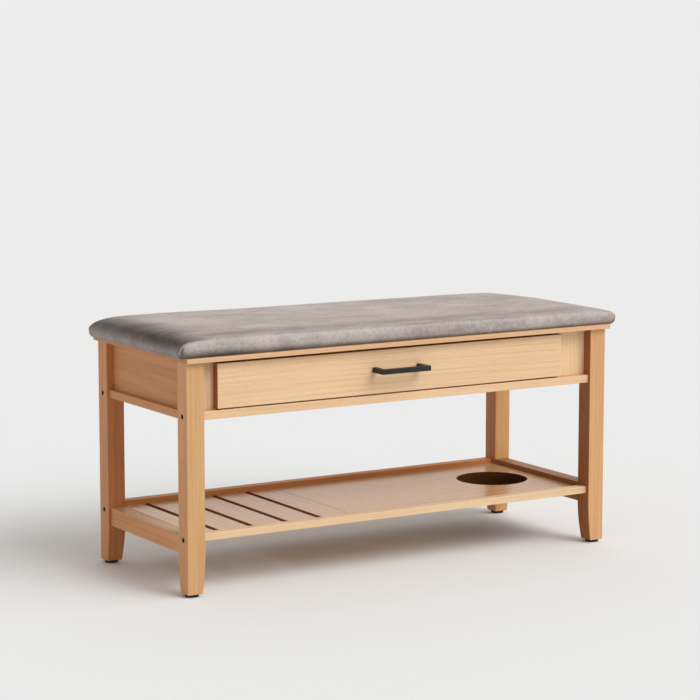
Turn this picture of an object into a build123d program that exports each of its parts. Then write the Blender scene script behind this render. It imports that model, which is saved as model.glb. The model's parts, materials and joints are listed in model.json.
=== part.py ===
"""Shoe storage bench: padded seat, one drawer, slatted shelf with a round well.

Millimetres. +X to the right, -Y to the front, +Z up, floor at Z = 0.
The bench is drawn about the middle of its top board. On export it moves along Y, so that the
origin lies under the middle of the whole outline, handle included.
"""
import os
from math import cos, pi, sin

from build123d import *

# Top board
BOARD_LENGTH = 990.0
BOARD_DEPTH = 404.0
BOARD_THICKNESS = 9.0
BOARD_TOP = 461.0
BOARD_END_OVERHANG = 5.0
BOARD_FRONT_OVERHANG = 12.0
BOARD_EDGE_RADIUS = 2.0

# Legs and glides
LEG_SECTION = 38.0
LEG_EDGE_RADIUS = 1.5
FOOT_TAPER = 6.0
FOOT_TAPER_HEIGHT = 84.0
GLIDE_DIAMETER = 27.0
GLIDE_HEIGHT = 6.0
GLIDE_EDGE_RADIUS = 1.5
GLIDE_STEM_DIAMETER = 6.0
GLIDE_STEM_LENGTH = 16.0

# Apron rails under the panels and the drawer
UPPER_BOX_HEIGHT = 96.0
APRON_HEIGHT = 16.0
APRON_RECESS = 6.0
RAIL_EDGE_RADIUS = 1.0

# Panels and stiles that close the upper box
PANEL_RECESS = 16.0
PANEL_THICKNESS = 10.0
PANEL_TONGUE = 6.0
STILE_RECESS = 22.0
LEFT_STILE_SHOWN = 31.0
RIGHT_STILE_SHOWN = 69.0

# Tenons of the side rails
TENON_THICKNESS = 12.0
TENON_LENGTH = 12.0
TENON_SHOULDER = 3.0

# Shelf
SHELF_SURFACE = 115.5
SHELF_BOARD_THICKNESS = 9.5
SHELF_FRONT_LIP = 5.0
SHELF_FRONT_HEIGHT = 14.5
SHELF_RAIL_LIP = 9.5
SHELF_RAIL_HEIGHT = 40.0
LEFT_RAIL_HEIGHT = 36.0
SHELF_FRONT_RECESS = 8.0
SHELF_RAIL_RECESS = 6.0
SHELF_LIP_WIDTH = 20.0
SHELF_BACK_THICKNESS = 22.0
SLAT_COUNT = 5
FIRST_SLAT_WIDTH = 43.0
SLAT_WIDTH = 65.0
SLAT_GAP = 12.0
SLAT_EDGE_RADIUS = 1.0
SHELF_TONGUE_THICKNESS = 5.0
SHELF_TONGUE_LENGTH = 6.0
SHELF_TONGUE_END = 28.0

# Round well in the shelf panel
WELL_DIAMETER = 150.0
WELL_FROM_RIGHT = 104.0
WELL_Y = 14.0
WELL_WALL = 9.0
WELL_DEPTH = 28.5
WELL_BASE_THICKNESS = 6.0
WELL_EDGE_RADIUS = 1.0

# Bolts through the legs, with barrel nuts in the rails
BOLT_DIAMETER = 6.0
BOLT_LENGTH = 56.0
BOLT_HEAD_DIAMETER = 10.0
BOLT_HEAD_HEIGHT = 6.0
BOLT_SUNK = 0.5
BOLT_SOCKET = 5.0
BOLT_SOCKET_DEPTH = 3.0
NUT_DIAMETER = 10.0
NUT_HEIGHT = 8.0
NUT_FROM_END = 18.0
SHELF_BOLT_DROP = 3.0

# Drawer
DRAWER_FRONT_THICKNESS = 16.0
DRAWER_FRONT_EDGE = 1.5
DRAWER_FRONT_LIFT = 3.0
DRAWER_FRONT_DROP = 6.0
DRAWER_FRONT_GAP = 0.5
DRAWER_OVERLAP = 16.0
DRAWER_BACK_SPACE = 32.5
DRAWER_BOX_LIFT = 10.0
DRAWER_BOX_DROP = 16.0
DRAWER_BOX_WALL = 12.0
DRAWER_BOTTOM_THICKNESS = 5.0
DRAWER_BOTTOM_LIFT = 8.0
DRAWER_BOTTOM_GROOVE = 5.0

# Handle
HANDLE_LENGTH = 113.0
HANDLE_BAR = 10.0
HANDLE_REACH = 39.0
HANDLE_RISE = 4.5
HANDLE_CORNER_RADIUS = 1.5
HANDLE_EDGE_RADIUS = 0.8

# Telescopic slides, one stack of three channels on each side of the drawer
SLIDE_SETBACK = 20.0
SLIDE_WIDTH = 12.7
SLIDE_HEIGHT = 35.0
SLIDE_SHEET = 1.2
SLIDE_PLAY = 0.4
CARRIER_THICKNESS = 18.0
CARRIER_HEIGHT = 58.0

# Seat pad
PAD_HEIGHT = 35.0
PAD_END_BULGE = 10.0
PAD_WALL_HEIGHT = 21.0
PAD_TUCK = 3.0
PAD_EDGE_REACH = 16.0
PAD_CROWN = 2.0
PAD_CROWN_REACH = 110.0
PAD_DRAW_IN = 2.0
PAD_CORNER_RADIUS = 13.0
PAD_EDGE_STEPS = 3
PAD_CROWN_STEPS = 3
COVER_THICKNESS = 1.5
COVER_TURN_UNDER = 45.0
SEAT_BASE_THICKNESS = 9.0
SEAT_BASE_INSET = 6.0

# Cleats and screws
CLEAT_SECTION = 18.0
CLEAT_END_GAP = 12.0
SCREW_DIAMETER = 4.0
SCREW_HEAD_DIAMETER = 8.0
SCREW_HEAD_HEIGHT = 2.5
SEAT_SCREW_BITE = 7.0
BOARD_SCREW_BITE = 7.0
FRONT_SCREW_BITE = 11.0
HANDLE_SCREW_BITE = 8.0
SEAT_SCREW_INSET = 75.0
BOARD_SCREW_INSET = 30.0
FRONT_SCREW_INSET = 60.0
FRONT_SCREW_PITCH = 36.0

# Clearances
JOINT_CLEARANCE = 0.2
HOLE_CLEARANCE = 0.2
SOFT_CLEARANCE = 0.3

# Planes that several pieces share
LEG_X = BOARD_LENGTH / 2 - BOARD_END_OVERHANG
LEG_Y = BOARD_DEPTH / 2 - BOARD_FRONT_OVERHANG
LEG_INNER_X = LEG_X - LEG_SECTION
LEG_INNER_Y = LEG_Y - LEG_SECTION
BOARD_BOTTOM = BOARD_TOP - BOARD_THICKNESS
APRON_TOP = BOARD_BOTTOM - UPPER_BOX_HEIGHT
APRON_MIDDLE = APRON_TOP - APRON_HEIGHT / 2
SHELF_FRONT_TOP = SHELF_SURFACE + SHELF_FRONT_LIP
SHELF_BOLT_HEIGHT = SHELF_FRONT_TOP - SHELF_FRONT_HEIGHT / 2 - SHELF_BOLT_DROP
SHELF_UNDERSIDE = SHELF_SURFACE - SHELF_BOARD_THICKNESS
SHELF_RAIL_TOP = SHELF_SURFACE + SHELF_RAIL_LIP
SHELF_RAIL_BOTTOM = SHELF_RAIL_TOP - SHELF_RAIL_HEIGHT
SHELF_FRONT_INNER = -LEG_Y + SHELF_FRONT_RECESS + SHELF_LIP_WIDTH
SHELF_BACK_INNER = LEG_Y - SHELF_RAIL_RECESS - SHELF_BACK_THICKNESS
TONGUE_MIDDLE = SHELF_UNDERSIDE + SHELF_BOARD_THICKNESS / 2
SLAT_PITCH = SLAT_WIDTH + SLAT_GAP
SHELF_PANEL_LEFT = -LEG_INNER_X + FIRST_SLAT_WIDTH + (SLAT_COUNT - 1) * SLAT_PITCH
WELL_X = LEG_INNER_X - WELL_FROM_RIGHT
BOLT_Y = LEG_Y - LEG_SECTION / 2
BOLT_HEAD_SEAT = LEG_X - BOLT_SUNK - BOLT_HEAD_HEIGHT
NUT_X = LEG_INNER_X - NUT_FROM_END
STILE_FACE = -LEG_Y + STILE_RECESS
BACK_PANEL_INNER = LEG_Y - PANEL_RECESS - PANEL_THICKNESS
SIDE_PANEL_INNER = LEG_X - PANEL_RECESS - PANEL_THICKNESS
DRAWER_LEFT = -LEG_INNER_X + LEFT_STILE_SHOWN
DRAWER_RIGHT = LEG_INNER_X - RIGHT_STILE_SHOWN
DRAWER_CENTRE_X = (DRAWER_LEFT + DRAWER_RIGHT) / 2
OPENING_LEFT = DRAWER_LEFT + DRAWER_OVERLAP
OPENING_RIGHT = DRAWER_RIGHT - DRAWER_OVERLAP
DRAWER_BACK_FACE = STILE_FACE - DRAWER_FRONT_GAP
DRAWER_FACE = DRAWER_BACK_FACE - DRAWER_FRONT_THICKNESS
DRAWER_FRONT_BOTTOM = APRON_TOP + DRAWER_FRONT_LIFT
DRAWER_FRONT_TOP = BOARD_BOTTOM - DRAWER_FRONT_DROP
BOX_LEFT = OPENING_LEFT + SLIDE_WIDTH
BOX_RIGHT = OPENING_RIGHT - SLIDE_WIDTH
BOX_BOTTOM = APRON_TOP + DRAWER_BOX_LIFT
BOX_TOP = BOARD_BOTTOM - DRAWER_BOX_DROP
BOX_BACK = BACK_PANEL_INNER - DRAWER_BACK_SPACE
SLIDE_MIDDLE = (BOX_BOTTOM + BOX_TOP) / 2
SLIDE_FRONT = DRAWER_BACK_FACE + SLIDE_SETBACK
HANDLE_FRONT = DRAWER_FACE - HANDLE_REACH
HANDLE_HEIGHT = (DRAWER_FRONT_BOTTOM + DRAWER_FRONT_TOP) / 2 + HANDLE_RISE
HANDLE_LEG_OFFSET = HANDLE_LENGTH / 2 - HANDLE_BAR / 2
CLEAT_REACH = LEG_INNER_Y - CLEAT_END_GAP
FRAME_SHIFT = -(HANDLE_FRONT + BOARD_DEPTH / 2) / 2

# Top and height of the side rails of the shelf: the left one is flush with the slats
SHELF_RAIL_LEVELS = {
    "left": (SHELF_SURFACE, LEFT_RAIL_HEIGHT),
    "right": (SHELF_RAIL_TOP, SHELF_RAIL_HEIGHT),
}
SIDES = {"left": -1, "right": 1}
ENDS = {"front": -1, "back": 1}


def span(x, y, z):
    """Box between two X, two Y and two Z values."""
    size = [max(pair) - min(pair) for pair in (x, y, z)]
    middle = [(pair[0] + pair[1]) / 2 for pair in (x, y, z)]
    return Pos(*middle) * Box(*size)


def rod(start, direction, diameter, length):
    """Cylinder from a point along a direction."""
    return extrude(Plane(start, z_dir=direction) * Circle(diameter / 2), amount=length)


def rounded(solid, axis, radius):
    """Round the edges that run along one axis."""
    return fillet(solid.edges().filter_by(axis), radius)


def flipped(solid, side, end):
    """Copy of a solid drawn in the right back quarter, for another quarter."""
    if side < 0 and end < 0:
        return Rot(0, 0, 180) * solid
    if side < 0:
        return mirror(solid, about=Plane.YZ)
    if end < 0:
        return mirror(solid, about=Plane.XZ)
    return solid


def group(solids):
    """Like pieces of one node, kept as separate solids."""
    return Compound([piece for solid in solids for piece in solid.solids()])


def wood_screw(head_face, direction, length):
    """Flat-headed screw that starts at its head's outer face."""
    head = extrude(
        Plane(head_face, z_dir=direction) * Circle(SCREW_HEAD_DIAMETER / 2),
        amount=SCREW_HEAD_HEIGHT,
        taper=45 * (SCREW_HEAD_DIAMETER - SCREW_DIAMETER) / (2 * SCREW_HEAD_HEIGHT),
    )
    return head + rod(head_face, direction, SCREW_DIAMETER, length)


def wood_screw_hole(head_face, direction, length):
    """Space that a flat-headed screw takes, with its clearance."""
    seat = rod(head_face, direction, SCREW_HEAD_DIAMETER + 2 * HOLE_CLEARANCE, SCREW_HEAD_HEIGHT)
    return seat + rod(head_face, direction, SCREW_DIAMETER + 2 * HOLE_CLEARANCE, length + HOLE_CLEARANCE)


# Legs

def leg_outline(plane, outer, inner, width):
    """One face of a leg: straight above, drawn in along an arc towards the foot."""
    foot = inner + FOOT_TAPER
    bend = GLIDE_HEIGHT + FOOT_TAPER_HEIGHT
    edge = [
        Polyline((foot, GLIDE_HEIGHT), (outer, GLIDE_HEIGHT), (outer, BOARD_BOTTOM)),
        Polyline((outer, BOARD_BOTTOM), (inner, BOARD_BOTTOM), (inner, bend)),
        TangentArc((inner, bend), (foot, GLIDE_HEIGHT), tangent=(0, -1)),
    ]
    return extrude(plane * make_face(edge), amount=width, both=True)


def mortise(rail_top, rail_height, rail_recess):
    """Space in a leg for the tenon of a side rail."""
    middle_x = (LEG_X - rail_recess + LEG_INNER_X) / 2
    half = TENON_THICKNESS / 2 + JOINT_CLEARANCE
    return span(
        (middle_x - half, middle_x + half),
        (LEG_INNER_Y, LEG_INNER_Y + TENON_LENGTH + JOINT_CLEARANCE),
        (
            rail_top - rail_height + TENON_SHOULDER - JOINT_CLEARANCE,
            rail_top - TENON_SHOULDER + JOINT_CLEARANCE,
        ),
    )


def panel_groove(outer, start):
    """Two values across and two values deep for a groove that takes a panel's edge."""
    face = outer - PANEL_RECESS
    across = (face - PANEL_THICKNESS - JOINT_CLEARANCE, face + JOINT_CLEARANCE)
    return across, (start, start + PANEL_TONGUE + JOINT_CLEARANCE)


def bolt_space(height):
    """Counterbore and clearance hole through a leg along X."""
    sink = BOLT_HEAD_HEIGHT + BOLT_SUNK
    start = (LEG_X, BOLT_Y, height)
    head = rod(start, (-1, 0, 0), BOLT_HEAD_DIAMETER + 2 * HOLE_CLEARANCE, sink)
    return head + rod(start, (-1, 0, 0), BOLT_DIAMETER + 2 * HOLE_CLEARANCE, LEG_SECTION)


def foot_centre():
    """Middle of the foot, where the taper has drawn the inner faces in."""
    inset = (LEG_SECTION - FOOT_TAPER) / 2
    return LEG_X - inset, LEG_Y - inset


def leg(has_back_panel, shelf_rail):
    """Leg of the right back quarter, for a shelf rail with its own top and height."""
    solid = leg_outline(Plane.XZ, LEG_X, LEG_INNER_X, BOARD_DEPTH)
    solid &= leg_outline(Plane.YZ, LEG_Y, LEG_INNER_Y, BOARD_LENGTH)
    upright = [edge for edge in solid.edges() if edge.bounding_box().size.Z > FOOT_TAPER_HEIGHT / 2]
    solid = fillet(upright, LEG_EDGE_RADIUS)
    solid -= mortise(APRON_TOP, APRON_HEIGHT, APRON_RECESS)
    solid -= mortise(*shelf_rail, SHELF_RAIL_RECESS)
    height = (APRON_TOP, BOARD_BOTTOM)
    across, deep = panel_groove(LEG_X, LEG_INNER_Y)
    solid -= span(across, deep, height)
    if has_back_panel:
        across, deep = panel_groove(LEG_Y, LEG_INNER_X)
        solid -= span(deep, across, height)
    for level in (APRON_MIDDLE, SHELF_BOLT_HEIGHT):
        solid -= bolt_space(level)
    stem = GLIDE_STEM_DIAMETER + 2 * HOLE_CLEARANCE
    solid -= rod((*foot_centre(), GLIDE_HEIGHT), (0, 0, 1), stem, GLIDE_STEM_LENGTH + HOLE_CLEARANCE)
    return solid


def glide():
    """Round pad under a foot, with the stem that is driven into the leg."""
    pad = rod((*foot_centre(), 0), (0, 0, 1), GLIDE_DIAMETER, GLIDE_HEIGHT)
    pad = fillet(pad.edges().group_by(Axis.Z)[0], GLIDE_EDGE_RADIUS)
    return pad + rod((*foot_centre(), GLIDE_HEIGHT), (0, 0, 1), GLIDE_STEM_DIAMETER, GLIDE_STEM_LENGTH)


# Bolts

def frame_bolt(height):
    """Socket-head bolt in the right back leg."""
    face = (LEG_X - BOLT_SUNK, BOLT_Y, height)
    head = rod(face, (-1, 0, 0), BOLT_HEAD_DIAMETER, BOLT_HEAD_HEIGHT)
    socket = Plane(face, z_dir=(-1, 0, 0)) * RegularPolygon(BOLT_SOCKET / 2, 6, major_radius=False)
    head -= extrude(socket, amount=BOLT_SOCKET_DEPTH)
    return head + rod((BOLT_HEAD_SEAT, BOLT_Y, height), (-1, 0, 0), BOLT_DIAMETER, BOLT_LENGTH)


def barrel_nut(height):
    """Round nut that lies across a bolt in the right back quarter."""
    nut = rod((NUT_X, BOLT_Y, height - NUT_HEIGHT / 2), (0, 0, 1), NUT_DIAMETER, NUT_HEIGHT)
    thread = BOLT_DIAMETER + HOLE_CLEARANCE
    return nut - rod((NUT_X - NUT_DIAMETER, BOLT_Y, height), (1, 0, 0), thread, 2 * NUT_DIAMETER)


def bolt_holes_in_rail(height, rail_bottom, end):
    """Holes for the bolts and nuts in both ends of a rail."""
    bolt_hole = BOLT_DIAMETER + 2 * HOLE_CLEARANCE
    bolt_end = BOLT_HEAD_SEAT - BOLT_LENGTH - HOLE_CLEARANCE
    bore = rod((LEG_INNER_X, BOLT_Y, height), (-1, 0, 0), bolt_hole, LEG_INNER_X - bolt_end)
    depth = height + NUT_HEIGHT / 2 + HOLE_CLEARANCE - rail_bottom
    pocket = rod((NUT_X, BOLT_Y, rail_bottom), (0, 0, 1), NUT_DIAMETER + 2 * HOLE_CLEARANCE, depth)
    return [flipped(hole, side, end) for hole in (bore, pocket) for side in SIDES.values()]


# Aprons, panels, stiles and the top board

def cross_rail(y, z, height, end):
    """Rail between two legs along X, bolted at both ends."""
    solid = rounded(span((-LEG_INNER_X, LEG_INNER_X), y, z), Axis.X, RAIL_EDGE_RADIUS)
    return solid - bolt_holes_in_rail(height, min(z), end)


def side_rail(top, height, recess):
    """Right rail along Y with a tenon at each end."""
    z = (top - height, top)
    x = (LEG_INNER_X, LEG_X - recess)
    solid = rounded(span(x, (-LEG_INNER_Y, LEG_INNER_Y), z), Axis.Y, RAIL_EDGE_RADIUS)
    middle = (x[0] + x[1]) / 2
    reach = LEG_INNER_Y + TENON_LENGTH
    return solid + span(
        (middle - TENON_THICKNESS / 2, middle + TENON_THICKNESS / 2),
        (-reach, reach),
        (z[0] + TENON_SHOULDER, z[1] - TENON_SHOULDER),
    )


def apron(end):
    """Thin rail under the drawer or under the back panel."""
    y = (end * LEG_INNER_Y, end * (LEG_Y - APRON_RECESS))
    return cross_rail(y, (APRON_TOP - APRON_HEIGHT, APRON_TOP), APRON_MIDDLE, end)


def side_panel():
    """Right side panel, with its ends in the grooves of the legs."""
    reach = LEG_INNER_Y + PANEL_TONGUE
    return span(
        (SIDE_PANEL_INNER, SIDE_PANEL_INNER + PANEL_THICKNESS), (-reach, reach), (APRON_TOP, BOARD_BOTTOM)
    )


def back_panel():
    """Back panel, with its ends in the grooves of the back legs."""
    reach = LEG_INNER_X + PANEL_TONGUE
    return span(
        (-reach, reach), (BACK_PANEL_INNER, BACK_PANEL_INNER + PANEL_THICKNESS), (APRON_TOP, BOARD_BOTTOM)
    )


def stile(side):
    """Upright beside the drawer opening."""
    opening = OPENING_LEFT if side < 0 else OPENING_RIGHT
    return span((opening, side * LEG_INNER_X), (STILE_FACE, -LEG_INNER_Y), (APRON_TOP, BOARD_BOTTOM))


def carrier(side):
    """Board behind a stile that a fixed slide member is screwed to."""
    opening = OPENING_LEFT if side < 0 else OPENING_RIGHT
    return span(
        (opening, opening + side * CARRIER_THICKNESS),
        (-LEG_INNER_Y, BACK_PANEL_INNER),
        (SLIDE_MIDDLE - CARRIER_HEIGHT / 2, SLIDE_MIDDLE + CARRIER_HEIGHT / 2),
    )


def top_cleat():
    """Right cleat that the top board is screwed to from below."""
    solid = span(
        (SIDE_PANEL_INNER - CLEAT_SECTION, SIDE_PANEL_INNER),
        (-CLEAT_REACH, CLEAT_REACH),
        (BOARD_BOTTOM - CLEAT_SECTION, BOARD_BOTTOM),
    )
    return solid - [wood_screw_hole(*place) for place in board_screw_places(1)]


def board_screw_places(side):
    """Head faces, directions and lengths of the screws up through a cleat."""
    x = side * (SIDE_PANEL_INNER - CLEAT_SECTION / 2)
    bottom = BOARD_BOTTOM - CLEAT_SECTION
    length = CLEAT_SECTION + BOARD_SCREW_BITE
    outer = CLEAT_REACH - BOARD_SCREW_INSET
    return [((x, y, bottom), (0, 0, 1), length) for y in (-outer, 0, outer)]


def seat_screw_places():
    """Head faces, directions and lengths of the screws up through the board into the seat base."""
    x = BOARD_LENGTH / 2 - SEAT_SCREW_INSET
    y = BOARD_DEPTH / 2 - SEAT_SCREW_INSET
    length = BOARD_THICKNESS + COVER_THICKNESS + SEAT_SCREW_BITE
    return [((px, py, BOARD_BOTTOM), (0, 0, 1), length) for px in (-x, 0, x) for py in (-y, y)]


def top_board():
    """Thin board that lies on the legs and overhangs them."""
    half_x, half_y = BOARD_LENGTH / 2, BOARD_DEPTH / 2
    solid = span((-half_x, half_x), (-half_y, half_y), (BOARD_BOTTOM, BOARD_TOP))
    solid = rounded(solid, Axis.Z, BOARD_EDGE_RADIUS)
    solid = fillet(solid.edges().group_by(Axis.Z)[0], BOARD_EDGE_RADIUS / 2)
    places = seat_screw_places() + [place for side in SIDES.values() for place in board_screw_places(side)]
    return solid - [wood_screw_hole(*place) for place in places]


# Shelf

def tongue_height(clearance):
    """Lower and upper height of the tongue, or of its groove with a clearance."""
    half = SHELF_TONGUE_THICKNESS / 2 + clearance
    return TONGUE_MIDDLE - half, TONGUE_MIDDLE + half


def shelf_groove(inner, end):
    """Stopped groove in a shelf rail for the tongues of the slats and the panel."""
    half = LEG_INNER_X - SHELF_TONGUE_END + JOINT_CLEARANCE
    return span(
        (-half, half),
        (inner, inner + end * (SHELF_TONGUE_LENGTH + JOINT_CLEARANCE)),
        tongue_height(JOINT_CLEARANCE),
    )


def shelf_front_rail():
    """Low front rail, whose top stands above the shelf as a lip."""
    y = (-LEG_Y + SHELF_FRONT_RECESS, SHELF_FRONT_INNER)
    z = (SHELF_FRONT_TOP - SHELF_FRONT_HEIGHT, SHELF_FRONT_TOP)
    return cross_rail(y, z, SHELF_BOLT_HEIGHT, -1) - shelf_groove(SHELF_FRONT_INNER, -1)


def shelf_back_rail():
    """Taller back rail that stops the shoes."""
    y = (SHELF_BACK_INNER, LEG_Y - SHELF_RAIL_RECESS)
    z = (SHELF_RAIL_BOTTOM, SHELF_RAIL_TOP)
    return cross_rail(y, z, SHELF_BOLT_HEIGHT, 1) - shelf_groove(SHELF_BACK_INNER, 1)


def shelf_board(left, right):
    """Board across the shelf with a tongue along its front and back ends."""
    solid = span((left, right), (SHELF_FRONT_INNER, SHELF_BACK_INNER), (SHELF_UNDERSIDE, SHELF_SURFACE))
    top_edges = solid.edges().filter_by(Axis.Y).group_by(Axis.Z)[-1]
    solid = fillet(top_edges, SLAT_EDGE_RADIUS)
    tongue_limit = LEG_INNER_X - SHELF_TONGUE_END
    return solid + span(
        (max(left, -tongue_limit), min(right, tongue_limit)),
        (SHELF_FRONT_INNER - SHELF_TONGUE_LENGTH, SHELF_BACK_INNER + SHELF_TONGUE_LENGTH),
        tongue_height(0),
    )


def slat_span(number):
    """Left and right edge of a slat, counted from the left."""
    right = SHELF_PANEL_LEFT - (SLAT_COUNT - number) * SLAT_PITCH
    left = -LEG_INNER_X if number == 1 else right - SLAT_WIDTH
    return left, right


def shelf_panel():
    """Plain panel with the mouth of the well."""
    solid = shelf_board(SHELF_PANEL_LEFT, LEG_INNER_X)
    solid -= rod((WELL_X, WELL_Y, SHELF_UNDERSIDE), (0, 0, 1), WELL_DIAMETER, SHELF_BOARD_THICKNESS)
    mouth = solid.edges().filter_by(GeomType.CIRCLE).group_by(Axis.Z)[-1]
    mouth = [edge for edge in mouth if edge.radius > WELL_DIAMETER / 4]
    return fillet(mouth, WELL_EDGE_RADIUS)


def well_liner():
    """Ring under the panel that makes the wall of the well."""
    start = (WELL_X, WELL_Y, SHELF_SURFACE - WELL_DEPTH)
    height = WELL_DEPTH - SHELF_BOARD_THICKNESS
    outside = rod(start, (0, 0, 1), WELL_DIAMETER + 2 * WELL_WALL, height)
    return outside - rod(start, (0, 0, 1), WELL_DIAMETER, height)


def well_base():
    """Disc that closes the well from below."""
    bottom = SHELF_SURFACE - WELL_DEPTH - WELL_BASE_THICKNESS
    disc = rod((WELL_X, WELL_Y, bottom), (0, 0, 1), WELL_DIAMETER + 2 * WELL_WALL, WELL_BASE_THICKNESS)
    return fillet(disc.edges().group_by(Axis.Z)[0], WELL_EDGE_RADIUS)


# Drawer

def handle_screw_places():
    """Head faces, directions and lengths of the screws that hold the handle."""
    face = DRAWER_BACK_FACE + DRAWER_BOX_WALL
    length = DRAWER_BOX_WALL + DRAWER_FRONT_THICKNESS + HANDLE_SCREW_BITE
    return [
        ((DRAWER_CENTRE_X + side * HANDLE_LEG_OFFSET, face, HANDLE_HEIGHT), (0, -1, 0), length)
        for side in SIDES.values()
    ]


def front_screw_places():
    """Head faces, directions and lengths of the screws that hold the drawer front to its box."""
    face = DRAWER_BACK_FACE + DRAWER_BOX_WALL
    length = DRAWER_BOX_WALL + FRONT_SCREW_BITE
    columns = (BOX_LEFT + FRONT_SCREW_INSET, BOX_RIGHT - FRONT_SCREW_INSET)
    rows = (SLIDE_MIDDLE - FRONT_SCREW_PITCH / 2, SLIDE_MIDDLE + FRONT_SCREW_PITCH / 2)
    return [((x, face, z), (0, -1, 0), length) for x in columns for z in rows]


def front_holes():
    """Screw holes that the inner front, the drawer front and the handle share."""
    return [wood_screw_hole(*place) for place in handle_screw_places() + front_screw_places()]


def drawer_front():
    """Front board that overlaps the stiles."""
    solid = span(
        (DRAWER_LEFT, DRAWER_RIGHT),
        (DRAWER_FACE, DRAWER_BACK_FACE),
        (DRAWER_FRONT_BOTTOM, DRAWER_FRONT_TOP),
    )
    solid = fillet(solid.edges().group_by(Axis.Y)[0], DRAWER_FRONT_EDGE)
    return solid - front_holes()


def bottom_groove():
    """Space that the drawer bottom takes, with its clearance."""
    return span(
        (
            BOX_LEFT + DRAWER_BOX_WALL - DRAWER_BOTTOM_GROOVE - JOINT_CLEARANCE,
            BOX_RIGHT - DRAWER_BOX_WALL + DRAWER_BOTTOM_GROOVE + JOINT_CLEARANCE,
        ),
        (
            DRAWER_BACK_FACE + DRAWER_BOX_WALL - DRAWER_BOTTOM_GROOVE - JOINT_CLEARANCE,
            BOX_BACK - DRAWER_BOX_WALL + DRAWER_BOTTOM_GROOVE + JOINT_CLEARANCE,
        ),
        (
            BOX_BOTTOM + DRAWER_BOTTOM_LIFT,
            BOX_BOTTOM + DRAWER_BOTTOM_LIFT + DRAWER_BOTTOM_THICKNESS + JOINT_CLEARANCE,
        ),
    )


def drawer_bottom():
    """Thin bottom that lies in the grooves of the box."""
    reach = DRAWER_BOX_WALL - DRAWER_BOTTOM_GROOVE
    bottom = BOX_BOTTOM + DRAWER_BOTTOM_LIFT
    return span(
        (BOX_LEFT + reach, BOX_RIGHT - reach),
        (DRAWER_BACK_FACE + reach, BOX_BACK - reach),
        (bottom, bottom + DRAWER_BOTTOM_THICKNESS),
    )


def drawer_side(side):
    """Long side of the drawer box."""
    outer = BOX_LEFT if side < 0 else BOX_RIGHT
    x = (outer, outer - side * DRAWER_BOX_WALL)
    return span(x, (DRAWER_BACK_FACE, BOX_BACK), (BOX_BOTTOM, BOX_TOP)) - bottom_groove()


def drawer_cross_wall(start):
    """Inner front or back of the drawer box, between its sides."""
    solid = span(
        (BOX_LEFT + DRAWER_BOX_WALL, BOX_RIGHT - DRAWER_BOX_WALL),
        (start, start + DRAWER_BOX_WALL),
        (BOX_BOTTOM, BOX_TOP),
    )
    return solid - bottom_groove() - front_holes()


def handle():
    """Square bar bent into a bracket, with a blind hole in each leg."""
    half = HANDLE_LENGTH / 2
    z = (HANDLE_HEIGHT - HANDLE_BAR / 2, HANDLE_HEIGHT + HANDLE_BAR / 2)
    x = (DRAWER_CENTRE_X - half, DRAWER_CENTRE_X + half)
    solid = span(x, (HANDLE_FRONT, DRAWER_FACE), z)
    solid = fillet(solid.edges().filter_by(Axis.Z).group_by(Axis.Y)[0], HANDLE_CORNER_RADIUS)
    gap = span((x[0] + HANDLE_BAR, x[1] - HANDLE_BAR), (HANDLE_FRONT + HANDLE_BAR, DRAWER_FACE), z)
    solid -= fillet(gap.edges().filter_by(Axis.Z).group_by(Axis.Y)[0], HANDLE_CORNER_RADIUS)
    ends = solid.edges().group_by(Axis.Y)[-1]
    rims = [edge for face in solid.faces().filter_by(Axis.Z) for edge in face.edges()]
    rims = [edge for edge in rims if edge not in ends]
    solid = fillet(rims, HANDLE_EDGE_RADIUS)
    return solid - [wood_screw_hole(*place) for place in handle_screw_places()]


# Slides

def slide_channel(side, web, tip, half_height):
    """Channel along Y: a web at one distance from the carrier, flanges that reach to another."""
    opening = OPENING_LEFT if side < 0 else OPENING_RIGHT
    inward = 1 if tip > web else -1
    web_x = opening - side * web
    hollow_x = web_x - side * inward * SLIDE_SHEET
    tip_x = opening - side * tip
    y = (SLIDE_FRONT, BOX_BACK)
    inner = half_height - SLIDE_SHEET
    full = span((web_x, tip_x), y, (SLIDE_MIDDLE - half_height, SLIDE_MIDDLE + half_height))
    return full - span((hollow_x, tip_x), y, (SLIDE_MIDDLE - inner, SLIDE_MIDDLE + inner))


def slide_members(side):
    """Fixed, middle and drawer member, nested with running play."""
    step = SLIDE_SHEET + SLIDE_PLAY
    half = SLIDE_HEIGHT / 2
    return {
        "fixed": slide_channel(side, 0, SLIDE_WIDTH - step - step, half),
        "middle": slide_channel(side, step, SLIDE_WIDTH - step, half - step),
        "drawer": slide_channel(side, SLIDE_WIDTH, 2 * step, half - 2 * step),
    }


# Seat pad

def pad_outline(inset, height):
    """Outline of the pad at one height: four sides drawn in between rounded corners."""
    x = BOARD_LENGTH / 2 + PAD_END_BULGE - inset
    y = BOARD_DEPTH / 2 - inset
    sides = [
        ThreePointArc((-x, -y), (0, -y + PAD_DRAW_IN), (x, -y)),
        ThreePointArc((x, -y), (x - PAD_DRAW_IN, 0), (x, y)),
        ThreePointArc((x, y), (0, y - PAD_DRAW_IN), (-x, y)),
        ThreePointArc((-x, y), (-x + PAD_DRAW_IN, 0), (-x, -y)),
    ]
    face = make_face(sides)
    return Pos(0, 0, height) * fillet(face.vertices(), PAD_CORNER_RADIUS + inset / 2)


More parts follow.
